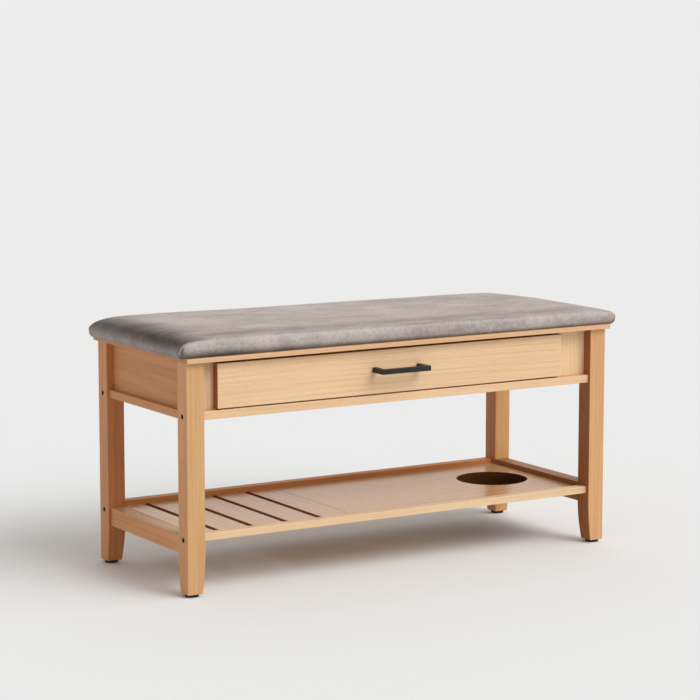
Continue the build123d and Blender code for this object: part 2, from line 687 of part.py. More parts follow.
def pad_form(skin, floor_lift):
    """Crowned pad, smaller by a skin on every side and lifted off the board."""
    bottom = BOARD_TOP + floor_lift
    wall_top = BOARD_TOP + PAD_WALL_HEIGHT
    edge_top = BOARD_TOP + PAD_HEIGHT - PAD_CROWN - skin
    wall = [pad_outline(skin + PAD_TUCK, bottom), pad_outline(skin, (bottom + wall_top) / 2)]
    for step in range(PAD_EDGE_STEPS + 1):
        turn = step / PAD_EDGE_STEPS * pi / 2
        rise = (edge_top - wall_top) * sin(turn)
        wall.append(pad_outline(skin + PAD_EDGE_REACH * (1 - cos(turn)), wall_top + rise))
    crown = []
    for step in range(PAD_CROWN_STEPS + 1):
        share = step / PAD_CROWN_STEPS
        inset = PAD_EDGE_REACH + (PAD_CROWN_REACH - PAD_EDGE_REACH) * share
        crown.append(pad_outline(skin + inset, edge_top + PAD_CROWN * (1 - (1 - share) ** 2)))
    return loft(wall) + loft(crown, ruled=True)


def seat_cover():
    """Leather drawn over the pad and turned under its base."""
    solid = pad_form(0, 0) - pad_form(COVER_THICKNESS, COVER_THICKNESS)
    x = BOARD_LENGTH / 2 - COVER_TURN_UNDER
    y = BOARD_DEPTH / 2 - COVER_TURN_UNDER
    return solid - span((-x, x), (-y, y), (BOARD_TOP, BOARD_TOP + COVER_THICKNESS))


def seat_base():
    """Plywood base that the cover is turned under."""
    bottom = BOARD_TOP + COVER_THICKNESS
    x = BOARD_LENGTH / 2 + PAD_END_BULGE - PAD_TUCK - SEAT_BASE_INSET
    y = BOARD_DEPTH / 2 - PAD_TUCK - SEAT_BASE_INSET
    solid = span((-x, x), (-y, y), (bottom, bottom + SEAT_BASE_THICKNESS))
    solid = rounded(solid, Axis.Z, PAD_CORNER_RADIUS)
    return solid - [wood_screw_hole(*place) for place in seat_screw_places()]


def seat_foam():
    """Foam between the base and the cover."""
    skin = COVER_THICKNESS + SOFT_CLEARANCE
    block = pad_form(skin, skin)
    base_top = BOARD_TOP + COVER_THICKNESS + SEAT_BASE_THICKNESS
    below = span((-BOARD_LENGTH, BOARD_LENGTH), (-BOARD_DEPTH, BOARD_DEPTH), (0, base_top))
    return block - below


# The whole bench

def all_pieces():
    """Every node's name and solid."""
    pieces = {}
    quarters = [(side, end) for side in SIDES for end in ENDS]
    for side, end in quarters:
        way = (SIDES[side], ENDS[end])
        pieces[f"leg_{end}_{side}"] = flipped(leg(end == "back", SHELF_RAIL_LEVELS[side]), *way)
        pieces[f"foot_glide_{end}_{side}"] = flipped(glide(), *way)
    levels = (APRON_MIDDLE, SHELF_BOLT_HEIGHT)
    ways = [(SIDES[side], ENDS[end]) for side, end in quarters]
    pieces["frame_bolts"] = group(flipped(frame_bolt(level), *way) for level in levels for way in ways)
    pieces["barrel_nuts"] = group(flipped(barrel_nut(level), *way) for level in levels for way in ways)

    pieces["front_apron_rail"] = apron(-1)
    pieces["back_apron_rail"] = apron(1)
    pieces["back_panel"] = back_panel()
    for name, side in SIDES.items():
        pieces[f"{name}_apron_rail"] = flipped(side_rail(APRON_TOP, APRON_HEIGHT, APRON_RECESS), side, 1)
        pieces[f"{name}_side_panel"] = flipped(side_panel(), side, 1)
        pieces[f"{name}_stile"] = stile(side)
        pieces[f"{name}_slide_carrier"] = carrier(side)
        pieces[f"{name}_top_cleat"] = flipped(top_cleat(), side, 1)
        rail = side_rail(*SHELF_RAIL_LEVELS[name], SHELF_RAIL_RECESS)
        pieces[f"{name}_shelf_rail"] = flipped(rail, side, 1)
        for member, channel in slide_members(side).items():
            pieces[f"{name}_slide_{member}_member"] = channel

    pieces["shelf_front_rail"] = shelf_front_rail()
    pieces["shelf_back_rail"] = shelf_back_rail()
    for number in range(1, SLAT_COUNT + 1):
        pieces[f"shelf_slat_{number}"] = shelf_board(*slat_span(number))
    pieces["shelf_panel"] = shelf_panel()
    pieces["well_liner"] = well_liner()
    pieces["well_base"] = well_base()

    pieces["drawer_front"] = drawer_front()
    pieces["drawer_inner_front"] = drawer_cross_wall(DRAWER_BACK_FACE)
    pieces["drawer_back"] = drawer_cross_wall(BOX_BACK - DRAWER_BOX_WALL)
    pieces["drawer_left_side"] = drawer_side(-1)
    pieces["drawer_right_side"] = drawer_side(1)
    pieces["drawer_bottom"] = drawer_bottom()
    pieces["drawer_handle"] = handle()
    pieces["handle_screws"] = group(wood_screw(*place) for place in handle_screw_places())
    pieces["drawer_front_screws"] = group(wood_screw(*place) for place in front_screw_places())

    pieces["top_board"] = top_board()
    places = [place for side in SIDES.values() for place in board_screw_places(side)]
    pieces["top_board_screws"] = group(wood_screw(*place) for place in places)
    pieces["seat_base"] = seat_base()
    pieces["seat_base_screws"] = group(wood_screw(*place) for place in seat_screw_places())
    pieces["seat_foam"] = seat_foam()
    pieces["seat_cover"] = seat_cover()
    return pieces


os.makedirs("parts", exist_ok=True)
for name, shape in all_pieces().items():
    export_step(Pos(0, FRAME_SHIFT, 0) * shape, f"parts/{name}.step")
    print(name, len(shape.solids()), round(shape.volume))
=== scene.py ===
# %% [markdown]
# # A shoe storage bench
# The bench has an oak frame, a drawer on telescopic slides, a slatted shelf with a round well, and a
# leather seat pad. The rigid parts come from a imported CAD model, which stays as it is. This lesson gives
# each of them its finish, makes the soft seat again as upholstery, and adds the small details that a CAD
# model leaves out.

# %% Load the frame
import json
import math

import bmesh
import bpy
import numpy as np
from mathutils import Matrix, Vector
from mathutils.bvhtree import BVHTree


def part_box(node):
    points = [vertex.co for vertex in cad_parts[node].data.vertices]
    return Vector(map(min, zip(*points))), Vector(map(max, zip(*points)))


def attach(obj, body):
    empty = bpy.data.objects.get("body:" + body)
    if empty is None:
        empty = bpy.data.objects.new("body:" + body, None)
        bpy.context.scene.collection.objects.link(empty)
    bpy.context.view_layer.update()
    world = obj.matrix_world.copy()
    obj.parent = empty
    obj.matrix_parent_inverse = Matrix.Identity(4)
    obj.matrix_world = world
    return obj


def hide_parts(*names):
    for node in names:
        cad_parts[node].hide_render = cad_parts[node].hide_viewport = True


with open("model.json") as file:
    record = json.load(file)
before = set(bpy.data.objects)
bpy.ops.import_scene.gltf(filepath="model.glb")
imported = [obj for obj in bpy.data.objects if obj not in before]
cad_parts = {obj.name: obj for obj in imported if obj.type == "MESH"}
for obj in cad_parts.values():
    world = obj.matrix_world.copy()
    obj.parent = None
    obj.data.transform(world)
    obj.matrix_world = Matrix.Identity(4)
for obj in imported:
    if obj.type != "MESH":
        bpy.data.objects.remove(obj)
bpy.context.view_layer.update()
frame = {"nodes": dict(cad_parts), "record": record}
nodes = frame["nodes"]
MM = 0.001

# %% [markdown]
# ## The camera
# A long lens well away from the bench keeps its edges nearly parallel, as in a catalogue picture. The
# place and the turn come from a fit of the bench's known corners to the picture. There is no roll, so two
# angles are enough.

# %% Camera
PICTURE_WIDTH = 700
FOCAL_PIXELS = 2515.9
SENSOR_WIDTH = 36.0
CAMERA_PLACE = (-2.6572, -4.3223, 1.1342)
CAMERA_TURN = -31.378
CAMERA_PITCH = 8.01

camera_data = bpy.data.cameras.new("camera")
camera_data.sensor_width = SENSOR_WIDTH
camera_data.lens = FOCAL_PIXELS / PICTURE_WIDTH * SENSOR_WIDTH
camera = bpy.data.objects.new("camera", camera_data)
camera.location = CAMERA_PLACE
camera.rotation_euler = (math.radians(90 - CAMERA_PITCH), 0, math.radians(CAMERA_TURN))
bpy.context.scene.collection.objects.link(camera)
bpy.context.scene.camera = camera
bpy.context.scene.view_settings.view_transform = "Standard"
print("lens:", round(camera_data.lens, 1), "mm")

# %% [markdown]
# ## Nodes without the mouse
# A material is a small graph. These helpers place a node, set its values and link its inputs in one line,
# so that a finish reads from top to bottom. A value that is a socket is linked, and any other is set.

# %% Node helpers
def feed(tree, socket, value):
    """Link a socket to another, or set its value."""
    if isinstance(value, bpy.types.NodeSocket):
        tree.links.new(value, socket)
    elif value is not None:
        socket.default_value = value


def add(tree, kind, settings=None, **inputs):
    """Place a node. Inputs are given by name, with _ for a space."""
    made = tree.nodes.new(kind)
    for name, value in (settings or {}).items():
        setattr(made, name, value)
    for name, value in inputs.items():
        feed(tree, made.inputs[name.replace("_", " ")], value)
    return made


def operated(tree, kind, operation, values):
    """First result of a node that has an operation."""
    made = tree.nodes.new(kind)
    made.operation = operation
    for socket, value in zip(made.inputs, values):
        feed(tree, socket, value)
    return made.outputs[0]


def value_of(tree, operation, *values):
    """A Math node's value."""
    return operated(tree, "ShaderNodeMath", operation, values)


def vector_of(tree, operation, *values):
    """A Vector Math node's vector."""
    return operated(tree, "ShaderNodeVectorMath", operation, values)


def times(tree, value, share):
    """A value multiplied by a share."""
    return value_of(tree, "MULTIPLY", value, share)


def stretched(tree, place, by):
    """A point with each of its axes multiplied."""
    return vector_of(tree, "MULTIPLY", place, by)


def parts_of(tree, vector):
    """X, Y and Z of a vector."""
    return add(tree, "ShaderNodeSeparateXYZ", Vector=vector).outputs


def mixed(tree, share, first, second, way="MIX"):
    """Two colours mixed by a share."""
    made = tree.nodes.new("ShaderNodeMix")
    made.data_type = "RGBA"
    made.blend_type = way
    feed(tree, made.inputs[0], share)
    feed(tree, made.inputs[6], first)
    feed(tree, made.inputs[7], second)
    return made.outputs[2]


def stepped(tree, value, start, end, low=0.0, high=1.0):
    """A value eased from one level to another between two limits."""
    made = add(
        tree,
        "ShaderNodeMapRange",
        {"interpolation_type": "SMOOTHSTEP"},
        Value=value,
        From_Min=start,
        From_Max=end,
        To_Min=low,
        To_Max=high,
    )
    return made.outputs[0]


def noise(tree, vector, scale=1.0, detail=3.0, roughness=0.5, distortion=0.0):
    """A Noise Texture's value."""
    made = add(
        tree,
        "ShaderNodeTexNoise",
        Vector=vector,
        Scale=scale,
        Detail=detail,
        Roughness=roughness,
        Distortion=distortion,
    )
    return made.outputs[0]


def shader_group(name, inputs, outputs):
    """An empty node group with named sockets, as (tree, input sockets, output sockets)."""
    tree = bpy.data.node_groups.new(name, "ShaderNodeTree")
    for label, kind in inputs.items():
        tree.interface.new_socket(label, in_out="INPUT", socket_type=f"NodeSocket{kind}")
    for label, kind in outputs.items():
        tree.interface.new_socket(label, in_out="OUTPUT", socket_type=f"NodeSocket{kind}")
    start = tree.nodes.new("NodeGroupInput")
    end = tree.nodes.new("NodeGroupOutput")
    return tree, start.outputs, end.inputs


def placed(tree, group, **inputs):
    """A group placed in a material, with its own values, as its output sockets."""
    return add(tree, "ShaderNodeGroup", {"node_tree": group}, **inputs).outputs


def new_material(name):
    """An empty material with its shader, as (material, tree, shader)."""
    material = bpy.data.materials.new(name)
    material.use_nodes = True
    tree = material.node_tree
    return material, tree, tree.nodes["Principled BSDF"]


def object_place(tree):
    """The point on the object, in metres."""
    return tree.nodes.new("ShaderNodeTexCoord").outputs["Object"]


def raise_surface(tree, shader, height, strength, distance, base=None):
    """Give a shader its fine relief, on top of a coarser one if there is one."""
    bump = add(tree, "ShaderNodeBump", Strength=strength, Distance=distance, Height=height, Normal=base)
    feed(tree, shader.inputs["Normal"], bump.outputs[0])


# %% [markdown]
# ## Floor and light
# The bench stands on a seamless pale floor that reaches the horizon. Two soft lights from the front right,
# one low and one high, leave the left ends in shade and throw the shadow back under the shelf. A third from
# the right and a fourth from behind soften that shadow, and a weak sky fills the shade. Sun lamps with wide
# discs do that evenly over the whole floor. A gloss sees a brighter sky, and the camera sees it as plain
# bright paper.

# %% Stage
FLOOR_REACH = 3000.0
FLOOR_COLOUR = (0.88, 0.92, 0.948, 1)
FLOOR_ROUGHNESS = 0.9
FLOOR_GLOSS = 0.1
# Strength, width of the disc in degrees, colour and direction of each lamp
LAMPS = {
    "key_low": (0.86, 34, (1.05, 0.99, 0.96), (0.25, -0.92, 0.70)),
    "key_high": (0.88, 34, (0.98, 1.01, 1.02), (0.46, -0.85, 0.95)),
    "right": (0.75, 50, (0.97, 1.0, 1.06), (0.85, -0.45, 0.45)),
    "back": (0.30, 60, (0.97, 1.0, 1.06), (0.3, 0.6, 0.6)),
}
SKY_FILL = 0.42
SKY_SEEN = 0.87
SKY_COLOUR = (1.0, 0.91, 0.82, 1)
SKY_PAPER = (0.965, 0.965, 0.96, 1)


def make_floor():
    """A large plane under the bench."""
    mesh = bpy.data.meshes.new("floor")
    corners = [(-1, -1), (1, -1), (1, 1), (-1, 1)]
    mesh.from_pydata([(x * FLOOR_REACH, y * FLOOR_REACH, 0) for x, y in corners], [], [(0, 1, 2, 3)])
    floor = bpy.data.objects.new("floor", mesh)
    bpy.context.scene.collection.objects.link(floor)
    material, _, shader = new_material("floor_paper")
    shader.inputs["Base Color"].default_value = FLOOR_COLOUR
    shader.inputs["Roughness"].default_value = FLOOR_ROUGHNESS
    shader.inputs["Specular IOR Level"].default_value = FLOOR_GLOSS
    mesh.materials.append(material)


def make_lamp(name, strength, disc, colour, direction):
    """A sun lamp with a wide disc."""
    lamp = bpy.data.lights.new(name, "SUN")
    lamp.energy = strength
    lamp.angle = math.radians(disc)
    lamp.color = colour
    thing = bpy.data.objects.new(name, lamp)
    thing.rotation_euler = Vector(direction).to_track_quat("Z", "Y").to_euler()
    bpy.context.scene.collection.objects.link(thing)


def make_sky():
    """A sky that is seen as pale paper."""
    world = bpy.data.worlds.new("sky")
    bpy.context.scene.world = world
    world.use_nodes = True
    tree = world.node_tree
    rays = tree.nodes.new("ShaderNodeLightPath").outputs
    seen = value_of(tree, "MAXIMUM", rays["Is Camera Ray"], rays["Is Glossy Ray"])
    strength = stepped(tree, seen, 0, 1, SKY_FILL, SKY_SEEN)
    sky = tree.nodes["Background"]
    feed(tree, sky.inputs["Color"], mixed(tree, rays["Is Camera Ray"], SKY_COLOUR, SKY_PAPER))
    feed(tree, sky.inputs["Strength"], strength)


make_floor()
for name, values in LAMPS.items():
    make_lamp(name, *values)
make_sky()
print("stage: floor, sky and", len(LAMPS), "lamps")

# %% [markdown]
# ## Oak
# Oak has growth rings, which a board cuts into long lines and pointed arches, and short dark pores along
# the grain. Both are solid patterns: the rings stand round an axis beside the board, so the sides and the
# ends of a board agree. The group reads a point whose X axis runs along the grain.

# %% Oak grain group
DRIFT_STRETCH = (1.1, 9.0, 9.0)
DRIFT_SHIFT = 0.05
RING_START = 0.35
RING_SHARE = 0.24
STREAK_STRETCH = (3.0, 210.0, 210.0)
STREAK_LIMITS = (0.36, 0.68)
STREAK_SHARE = 0.50
STREAK_HEIGHT = 0.25
CLOUD_STRETCH = (2.2, 14.0, 14.0)
CLOUD_MIDDLE = 0.5
CLOUD_SHARE = 0.9
PORE_STRETCH = (42.0, 1500.0, 1500.0)
PORE_LIMITS = (0.60, 0.74)
PORE_LEAST = 0.4
PORE_SHARE = 0.45
PORE_COLOUR = (0.30, 0.15, 0.06, 1)
GRAIN_ROUGHNESS = (0.85, 1.35)


def make_oak_grain():
    """Colour, height and roughness of lacquered oak."""
    tree, given, result = shader_group(
        "oak_grain",
        {"Place": "Vector", "Light": "Color", "Dark": "Color", "Figure": "Float", "Satin": "Float"},
        {"Color": "Color", "Height": "Float", "Roughness": "Float"},
    )
    place = given["Place"]
    drift = noise(tree, stretched(tree, place, DRIFT_STRETCH), detail=2.0)
    aside = times(tree, drift, DRIFT_SHIFT)
    sway = add(tree, "ShaderNodeCombineXYZ", Y=aside, Z=aside).outputs[0]
    rings = add(
        tree,
        "ShaderNodeTexWave",
        {"wave_type": "RINGS", "rings_direction": "X", "wave_profile": "SAW"},
        Vector=vector_of(tree, "ADD", place, sway),
        Scale=30.0,
        Distortion=2.6,
        Detail=3.0,
        Detail_Scale=1.4,
    ).outputs["Fac"]
    ring_line = stepped(tree, rings, RING_START, 1.0)
    streak = noise(tree, stretched(tree, place, STREAK_STRETCH), detail=4.0, roughness=0.62)
    streak = stepped(tree, streak, *STREAK_LIMITS)
    cloud = noise(tree, stretched(tree, place, CLOUD_STRETCH), detail=2.0)
    cloud = value_of(tree, "SUBTRACT", cloud, CLOUD_MIDDLE)
    pores = noise(tree, stretched(tree, place, PORE_STRETCH), detail=1.0)
    pores = stepped(tree, pores, *PORE_LIMITS)
    pores = times(tree, pores, stepped(tree, ring_line, 0.0, 1.0, PORE_LEAST, 1.0))
    share = value_of(tree, "ADD", times(tree, ring_line, RING_SHARE), times(tree, streak, STREAK_SHARE))
    share = value_of(tree, "ADD", share, times(tree, cloud, CLOUD_SHARE))
    share = times(tree, share, given["Figure"])
    colour = mixed(tree, share, given["Light"], given["Dark"])
    colour = mixed(tree, times(tree, pores, PORE_SHARE), colour, PORE_COLOUR)
    height = value_of(tree, "SUBTRACT", times(tree, streak, STREAK_HEIGHT), pores)
    rough = stepped(tree, value_of(tree, "ADD", pores, streak), 0.0, 2.0, *GRAIN_ROUGHNESS)
    feed(tree, result["Color"], colour)
    feed(tree, result["Height"], height)
    feed(tree, result["Roughness"], times(tree, given["Satin"], rough))
    return tree


oak_grain = make_oak_grain()
print("group:", oak_grain.name)

# %% [markdown]
# ## Worn edges
# Lacquer thins along the edges of a board, which end up a little paler and rougher. A board here is a box
# along the axes, and on its surface one of the three distances to the box is near zero. The middle one of
# the three is then the distance to the nearest edge, so no baked map is needed.

# %% Worn edge group
WEAR_NOISE = 70.0
# Two limits of the noise, and the level at each of them
WEAR_BREAKS = (0.35, 0.65, 0.25, 1.0)


def make_edge_wear():
    """Mask of a band along the edges of a box, broken up by noise."""
    tree, given, result = shader_group(
        "edge_wear",
        {"Place": "Vector", "Low": "Vector", "High": "Vector", "Width": "Float"},
        {"Mask": "Float"},
    )
    from_low = vector_of(tree, "SUBTRACT", given["Place"], given["Low"])
    from_high = vector_of(tree, "SUBTRACT", given["High"], given["Place"])
    x, y, z = parts_of(tree, vector_of(tree, "MINIMUM", from_low, from_high))
    smaller = value_of(tree, "MINIMUM", x, y)
    larger = value_of(tree, "MAXIMUM", x, y)
    middle = value_of(tree, "MAXIMUM", smaller, value_of(tree, "MINIMUM", larger, z))
    band = value_of(tree, "SUBTRACT", 1.0, value_of(tree, "DIVIDE", middle, given["Width"]))
    broken = stepped(tree, noise(tree, given["Place"], WEAR_NOISE, detail=3.0), *WEAR_BREAKS)
    feed(tree, result["Mask"], times(tree, stepped(tree, band, 0.0, 1.0), broken))
    return tree


edge_wear = make_edge_wear()
print("group:", edge_wear.name)

# %% [markdown]
# ## Wood for every board
# Each board is cut from another place in the tree, so each gets its own material: the same two groups,
# with the grain along the board's length, its own place in the rings and its own tone. The legs are
# redder than the drawer front, and the plywood of the carriers and the drawer bottom is greyer. End grain
# drinks more of the finish, so the two ends of a board are darker; the drawer front's ends are darker still,
# in painted shade of the gaps beside it. Many faces get painted light and shade, lighter or darker for how
# the light falls on them, and a few a tone of their own. The sides of the slats get painted shade of the
# gaps between them, and the wall of the well's mouth is coloured as dark as its liner.

# %% Wood finishes
# Light and dark colour of the grain, roughness and gloss of each wood
WOODS = {
    "leg": ((0.60, 0.36, 0.175), (0.482, 0.259, 0.11), 0.46, 0.08),
    "end": ((0.67, 0.335, 0.155), (0.54, 0.244, 0.099), 0.46, 0.08),
    "board": ((0.775, 0.55, 0.345), (0.64, 0.413, 0.22), 0.44, 0.2),
    "shelf": ((0.54, 0.31, 0.158), (0.43, 0.23, 0.104), 0.26, 0.4),
    "well": ((0.09, 0.035, 0.013), (0.045, 0.016, 0.006), 0.6, 0.05),
    "box": ((0.74, 0.58, 0.40), (0.63, 0.47, 0.30), 0.46, 0.3),
    "ply": ((0.70, 0.54, 0.37), (0.58, 0.42, 0.26), 0.5, 0.3),
}
# Wood by the start of an oak node's name, where the first that fits counts
KIND_BY_START = {
    "leg": "leg",
    "left_stile": "board",
    "right_stile": "board",
    "left_": "end",
    "right_": "end",
    "shelf_back": "end",
    "shelf_slat": "shelf",
    "shelf_panel": "shelf",
}
# Turns for grain along X, Y and Z
GRAIN_TURNS = [(0.0, 0.0, 0.0), (0.0, 0.0, math.radians(-90)), (0.0, math.radians(90), 0.0)]
TINTS = {
    "leg_back_right": (1.04, 0.99, 0.89),
    "leg_front_right": (1.11, 1.06, 1.08),
    "front_apron_rail": (0.97, 0.94, 0.93),
    "left_shelf_rail": (1.12, 1.10, 1.15),
    "shelf_front_rail": (1.02, 1.05, 1.03),
    "right_stile": (1.09, 1.12, 1.10),
}
# Most of these tones are painted light and shade: the outer left sides of the left legs are lighter, and
# The drawer front's left end is redder in painted shade; the top board's front and left end are partly
# the inner sides, the back left leg's front, the back and right shelf rails and the drawer front's top
# darker.
# their own colour, partly painted shade; the top of the left shelf rail is its own colour with a painted
# sheen.
# Axis, end (0 is the low one, 1 the high one) and tone of each face that has one
FACE_LIGHT_SHADE_AND_TONE = {
    "leg_front_left": [("X", 0, (1.26, 1.12, 1.20))],
    "leg_back_left": [("X", 0, (1.15, 0.96, 0.97)), ("Y", 0, (0.90, 0.63, 0.54))],
    "shelf_back_rail": [("Y", 0, (0.90, 0.78, 0.63)), ("Z", 1, (0.90, 0.78, 0.64))],
    "leg_front_right": [("X", 0, (0.56, 0.38, 0.29))],
    "leg_back_right": [("X", 0, (0.93, 0.79, 0.87))],
    "left_shelf_rail": [("Z", 1, (0.80, 1.05, 1.25))],
    "right_shelf_rail": [("Z", 1, (0.54, 0.54, 0.59)), ("X", 0, (0.64, 0.57, 0.52))],
    "top_board": [("Y", 0, (0.95, 0.83, 0.75)), ("X", 0, (1.0, 0.82, 0.70))],
    "drawer_front": [("Z", 1, (0.42, 0.33, 0.27)), ("X", 0, (1.1, 0.75, 0.55))],
}
FACE_DEPTH = 0.0012
LEG_TAPER = 0.006
LEG_TAPER_HEIGHT = 0.084
GOLDEN = 0.618034
ALONG_STEP = 1
ASIDE_STEP = 5
TONE_STEP = 3
FIGURE = 0.95
TONE_LEAST = 0.95
TONE_SPREAD = 0.10
CUT_ALONG = 3.0
CUT_ASIDE = 0.16
CUT_LEAST = 0.05
CUT_DEEP = 0.09
GRAIN_BUMP = 0.22
GRAIN_HEIGHT = 0.0004
WEAR_WIDTH = 0.0035
WEAR_PALE = 1.12
WEAR_SHARE = 0.5
WEAR_ROUGH = 0.1
END_DEPTH = 0.0008
END_WARMTH = (1.0, 0.85, 0.75)
# End grain is darker; the drawer front's ends are darker still, painted shade of the gaps beside it
END_SHADE = {"drawer_front": 0.4, "top_board": 0.8}
END_SHADE_USUAL = 0.6
GAP_DEPTH = 0.0007
# Painted shade on the long sides of the slats, in the gaps between them
SLOT_SHADE = (0.26, 0.075, 0.018, 1)
WELL_WALL_DARK = (0.10, 0.04, 0.015, 1)
WELL_MOUTH = 0.150
RIM_START = 0.0003
RIM_END = 0.0006
slot_of = {row["node"]: row["material_slot"] for row in frame["record"]["subparts"]}


def wood_kind(name):
    """Which wood a node is made of, or nothing."""
    slot = slot_of[name]
    if slot == "dark_wood":
        return "well"
    if slot == "drawer_wood":
        return "box"
    if slot == "plywood":
        return "ply"
    if slot != "oak":
        return None
    for start, kind in KIND_BY_START.items():
        if name.startswith(start):
            return kind
    return "board"


def grain_axis(name):
    """Number of a node's longest axis."""
    low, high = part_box(name)
    size = high - low
    return max(range(3), key=lambda axis: size[axis])


def outer_mask(tree, point, low, high, axis, depth):
    """Mask of both ends of a box along an axis."""
    along = value_of(tree, "SUBTRACT", parts_of(tree, point)[axis], (low[axis] + high[axis]) / 2)
    half = (high[axis] - low[axis]) / 2
    return stepped(tree, value_of(tree, "ABSOLUTE", along), half - depth, half - depth / 2)


def end_mask(tree, point, name):
    """Mask of the two ends of a board, along its grain."""
    low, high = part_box(name)
    return outer_mask(tree, point, low, high, grain_axis(name), END_DEPTH)


def gap_mask(tree, point, name):
    """Mask of the two long sides of a slat, which face the gaps."""
    low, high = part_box(name)
    return outer_mask(tree, point, low, high, 0, GAP_DEPTH)


def face_mask(tree, point, name, axis, end):
    """Mask of one side of a board: the low end of an axis, or its high end. A leg's inner sides taper."""
    low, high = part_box(name)
    place = (low, high)[end]["XYZ".index(axis)]
    parts = parts_of(tree, point)
    away = value_of(tree, "SUBTRACT", parts[axis], place)
    if name.startswith("leg") and (end == 0) == (place > 0):
        bend = value_of(tree, "SUBTRACT", low.z + LEG_TAPER_HEIGHT, parts["Z"])
        bend = value_of(tree, "DIVIDE", value_of(tree, "MAXIMUM", bend, 0.0), LEG_TAPER_HEIGHT)
        reach = LEG_TAPER if end == 0 else -LEG_TAPER
        away = value_of(tree, "SUBTRACT", away, times(tree, times(tree, bend, bend), reach))
    return stepped(tree, value_of(tree, "ABSOLUTE", away), FACE_DEPTH / 4, FACE_DEPTH, 1.0, 0.0)


def well_mask(tree, point):
    """Mask of the wall of the hole in the shelf panel, below its rounded rim."""
    low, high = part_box("well_liner")
    middle = (low + high) / 2
    flat = stretched(tree, vector_of(tree, "SUBTRACT", point, tuple(middle)), (1.0, 1.0, 0.0))
    away = add(tree, "ShaderNodeVectorMath", {"operation": "LENGTH"}, Vector=flat).outputs["Value"]
    radius = WELL_MOUTH / 2
    return stepped(tree, away, radius + RIM_START, radius + RIM_END, 1.0, 0.0)


def tinted(colour, tint):
    """A colour with each part multiplied, as a socket takes it."""
    return tuple(part * share for part, share in zip(colour, tint)) + (1,)


def spot(number, step):
    """A share between 0 and 1 that spreads evenly over the boards."""
    return (number * GOLDEN * step) % 1.0


def wood_finish(name, kind, number):
    """A board's own material."""
    low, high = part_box(name)
    light, dark, satin, gloss = WOODS[kind]
    material, tree, shader = new_material(f"wood_{name}")
    point = object_place(tree)
    turned = add(tree, "ShaderNodeMapping", Vector=point, Rotation=GRAIN_TURNS[grain_axis(name)]).outputs[0]
    aside = spot(number, ASIDE_STEP) * CUT_ASIDE + CUT_LEAST
    cut = (spot(number, ALONG_STEP) * CUT_ALONG, aside, CUT_DEEP)
    tone = TONE_LEAST + TONE_SPREAD * spot(number, TONE_STEP)
    tint = [part * tone for part in TINTS.get(name, (1.0, 1.0, 1.0))]
    grain = placed(
        tree,
        oak_grain,
        Place=vector_of(tree, "ADD", turned, cut),
        Light=tinted(light, tint),
        Dark=tinted(dark, tint),
        Satin=satin,
        Figure=FIGURE,
    )
    worn = placed(tree, edge_wear, Place=point, Low=low, High=high, Width=WEAR_WIDTH)["Mask"]
    pale = tinted([WEAR_PALE * part for part in light], tint)
    colour = mixed(tree, times(tree, worn, WEAR_SHARE), grain["Color"], pale)
    shade = END_SHADE.get(name, END_SHADE_USUAL)
    # Darker end grain, and on the drawer front painted shade of the gaps beside it
    end_grain_and_gap_shade = tinted(END_WARMTH, [shade] * 3)
    colour = mixed(tree, end_mask(tree, point, name), colour, end_grain_and_gap_shade, "MULTIPLY")
    # Painted light and shade on single faces, and a few faces' own tone
    for axis, end, face_light_shade_and_tone in FACE_LIGHT_SHADE_AND_TONE.get(name, []):
        face = face_mask(tree, point, name, axis, end)
        colour = mixed(tree, face, colour, face_light_shade_and_tone + (1,), "MULTIPLY")
    # The long sides of the slats get painted shade of the gaps between them
    if kind == "shelf":
        colour = mixed(tree, gap_mask(tree, point, name), colour, SLOT_SHADE)
    # The wall of the hole below its rim is coloured as dark as the well's liner
    if name == "shelf_panel":
        colour = mixed(tree, well_mask(tree, point), colour, WELL_WALL_DARK)
    rough = value_of(tree, "ADD", grain["Roughness"], times(tree, worn, WEAR_ROUGH))
    feed(tree, shader.inputs["Base Color"], colour)
    feed(tree, shader.inputs["Roughness"], rough)
    raise_surface(tree, shader, grain["Height"], GRAIN_BUMP, GRAIN_HEIGHT)
    shader.inputs["Specular IOR Level"].default_value = gloss
    return material


def dress(name, material):
    """Give a CAD node one material."""
    mesh = nodes[name].data
    mesh.materials.clear()
    mesh.materials.append(material)


wooden = [name for name in sorted(nodes) if wood_kind(name)]
for number, name in enumerate(wooden):
    dress(name, wood_finish(name, wood_kind(name), number))
print("wooden boards:", len(wooden))

# %% [markdown]
# ## Metal and plastic
# The handle and the bolts are black and matt, with the fine orange peel of a sprayed coat. The slides and
# the screws are bright zinc with streaks from the rolling mill. The glides under the feet are dark plastic
# with scuffs.

# %% Metal and plastic finishes
NOISE_LIMITS = (0.3, 0.7)
FINE_HEIGHT = 0.0002
COAT_COLOURS = ((0.009, 0.009, 0.010, 1), (0.017, 0.016, 0.017, 1))
COAT_SPECKLE = 900.0
COAT_CLOUDS = 60.0
COAT_ROUGHNESS = (0.38, 0.52)
COAT_BUMP = 0.25
COAT_GLOSS = 0.28
ZINC_COLOURS = ((0.56, 0.57, 0.59, 1), (0.68, 0.68, 0.67, 1))
ZINC_STRETCH = (900.0, 14.0, 900.0)
ZINC_BLOOM = 45.0
ZINC_ROUGHNESS = (0.24, 0.42)
ZINC_BUMP = 0.1
PLASTIC_COLOURS = ((0.013, 0.010, 0.008, 1), (0.035, 0.028, 0.023, 1))
SCUFF_STRETCH = (200.0, 700.0, 200.0)
SCUFF_LIMITS = (0.55, 0.75)
PLASTIC_ROUGHNESS = (0.6, 0.8)
PLASTIC_BUMP = 0.2
PLASTIC_GLOSS = 0.25


def spread(tree, value, low=0.0, high=1.0):
    """A noise value spread from one level to another."""
    return stepped(tree, value, *NOISE_LIMITS, low, high)


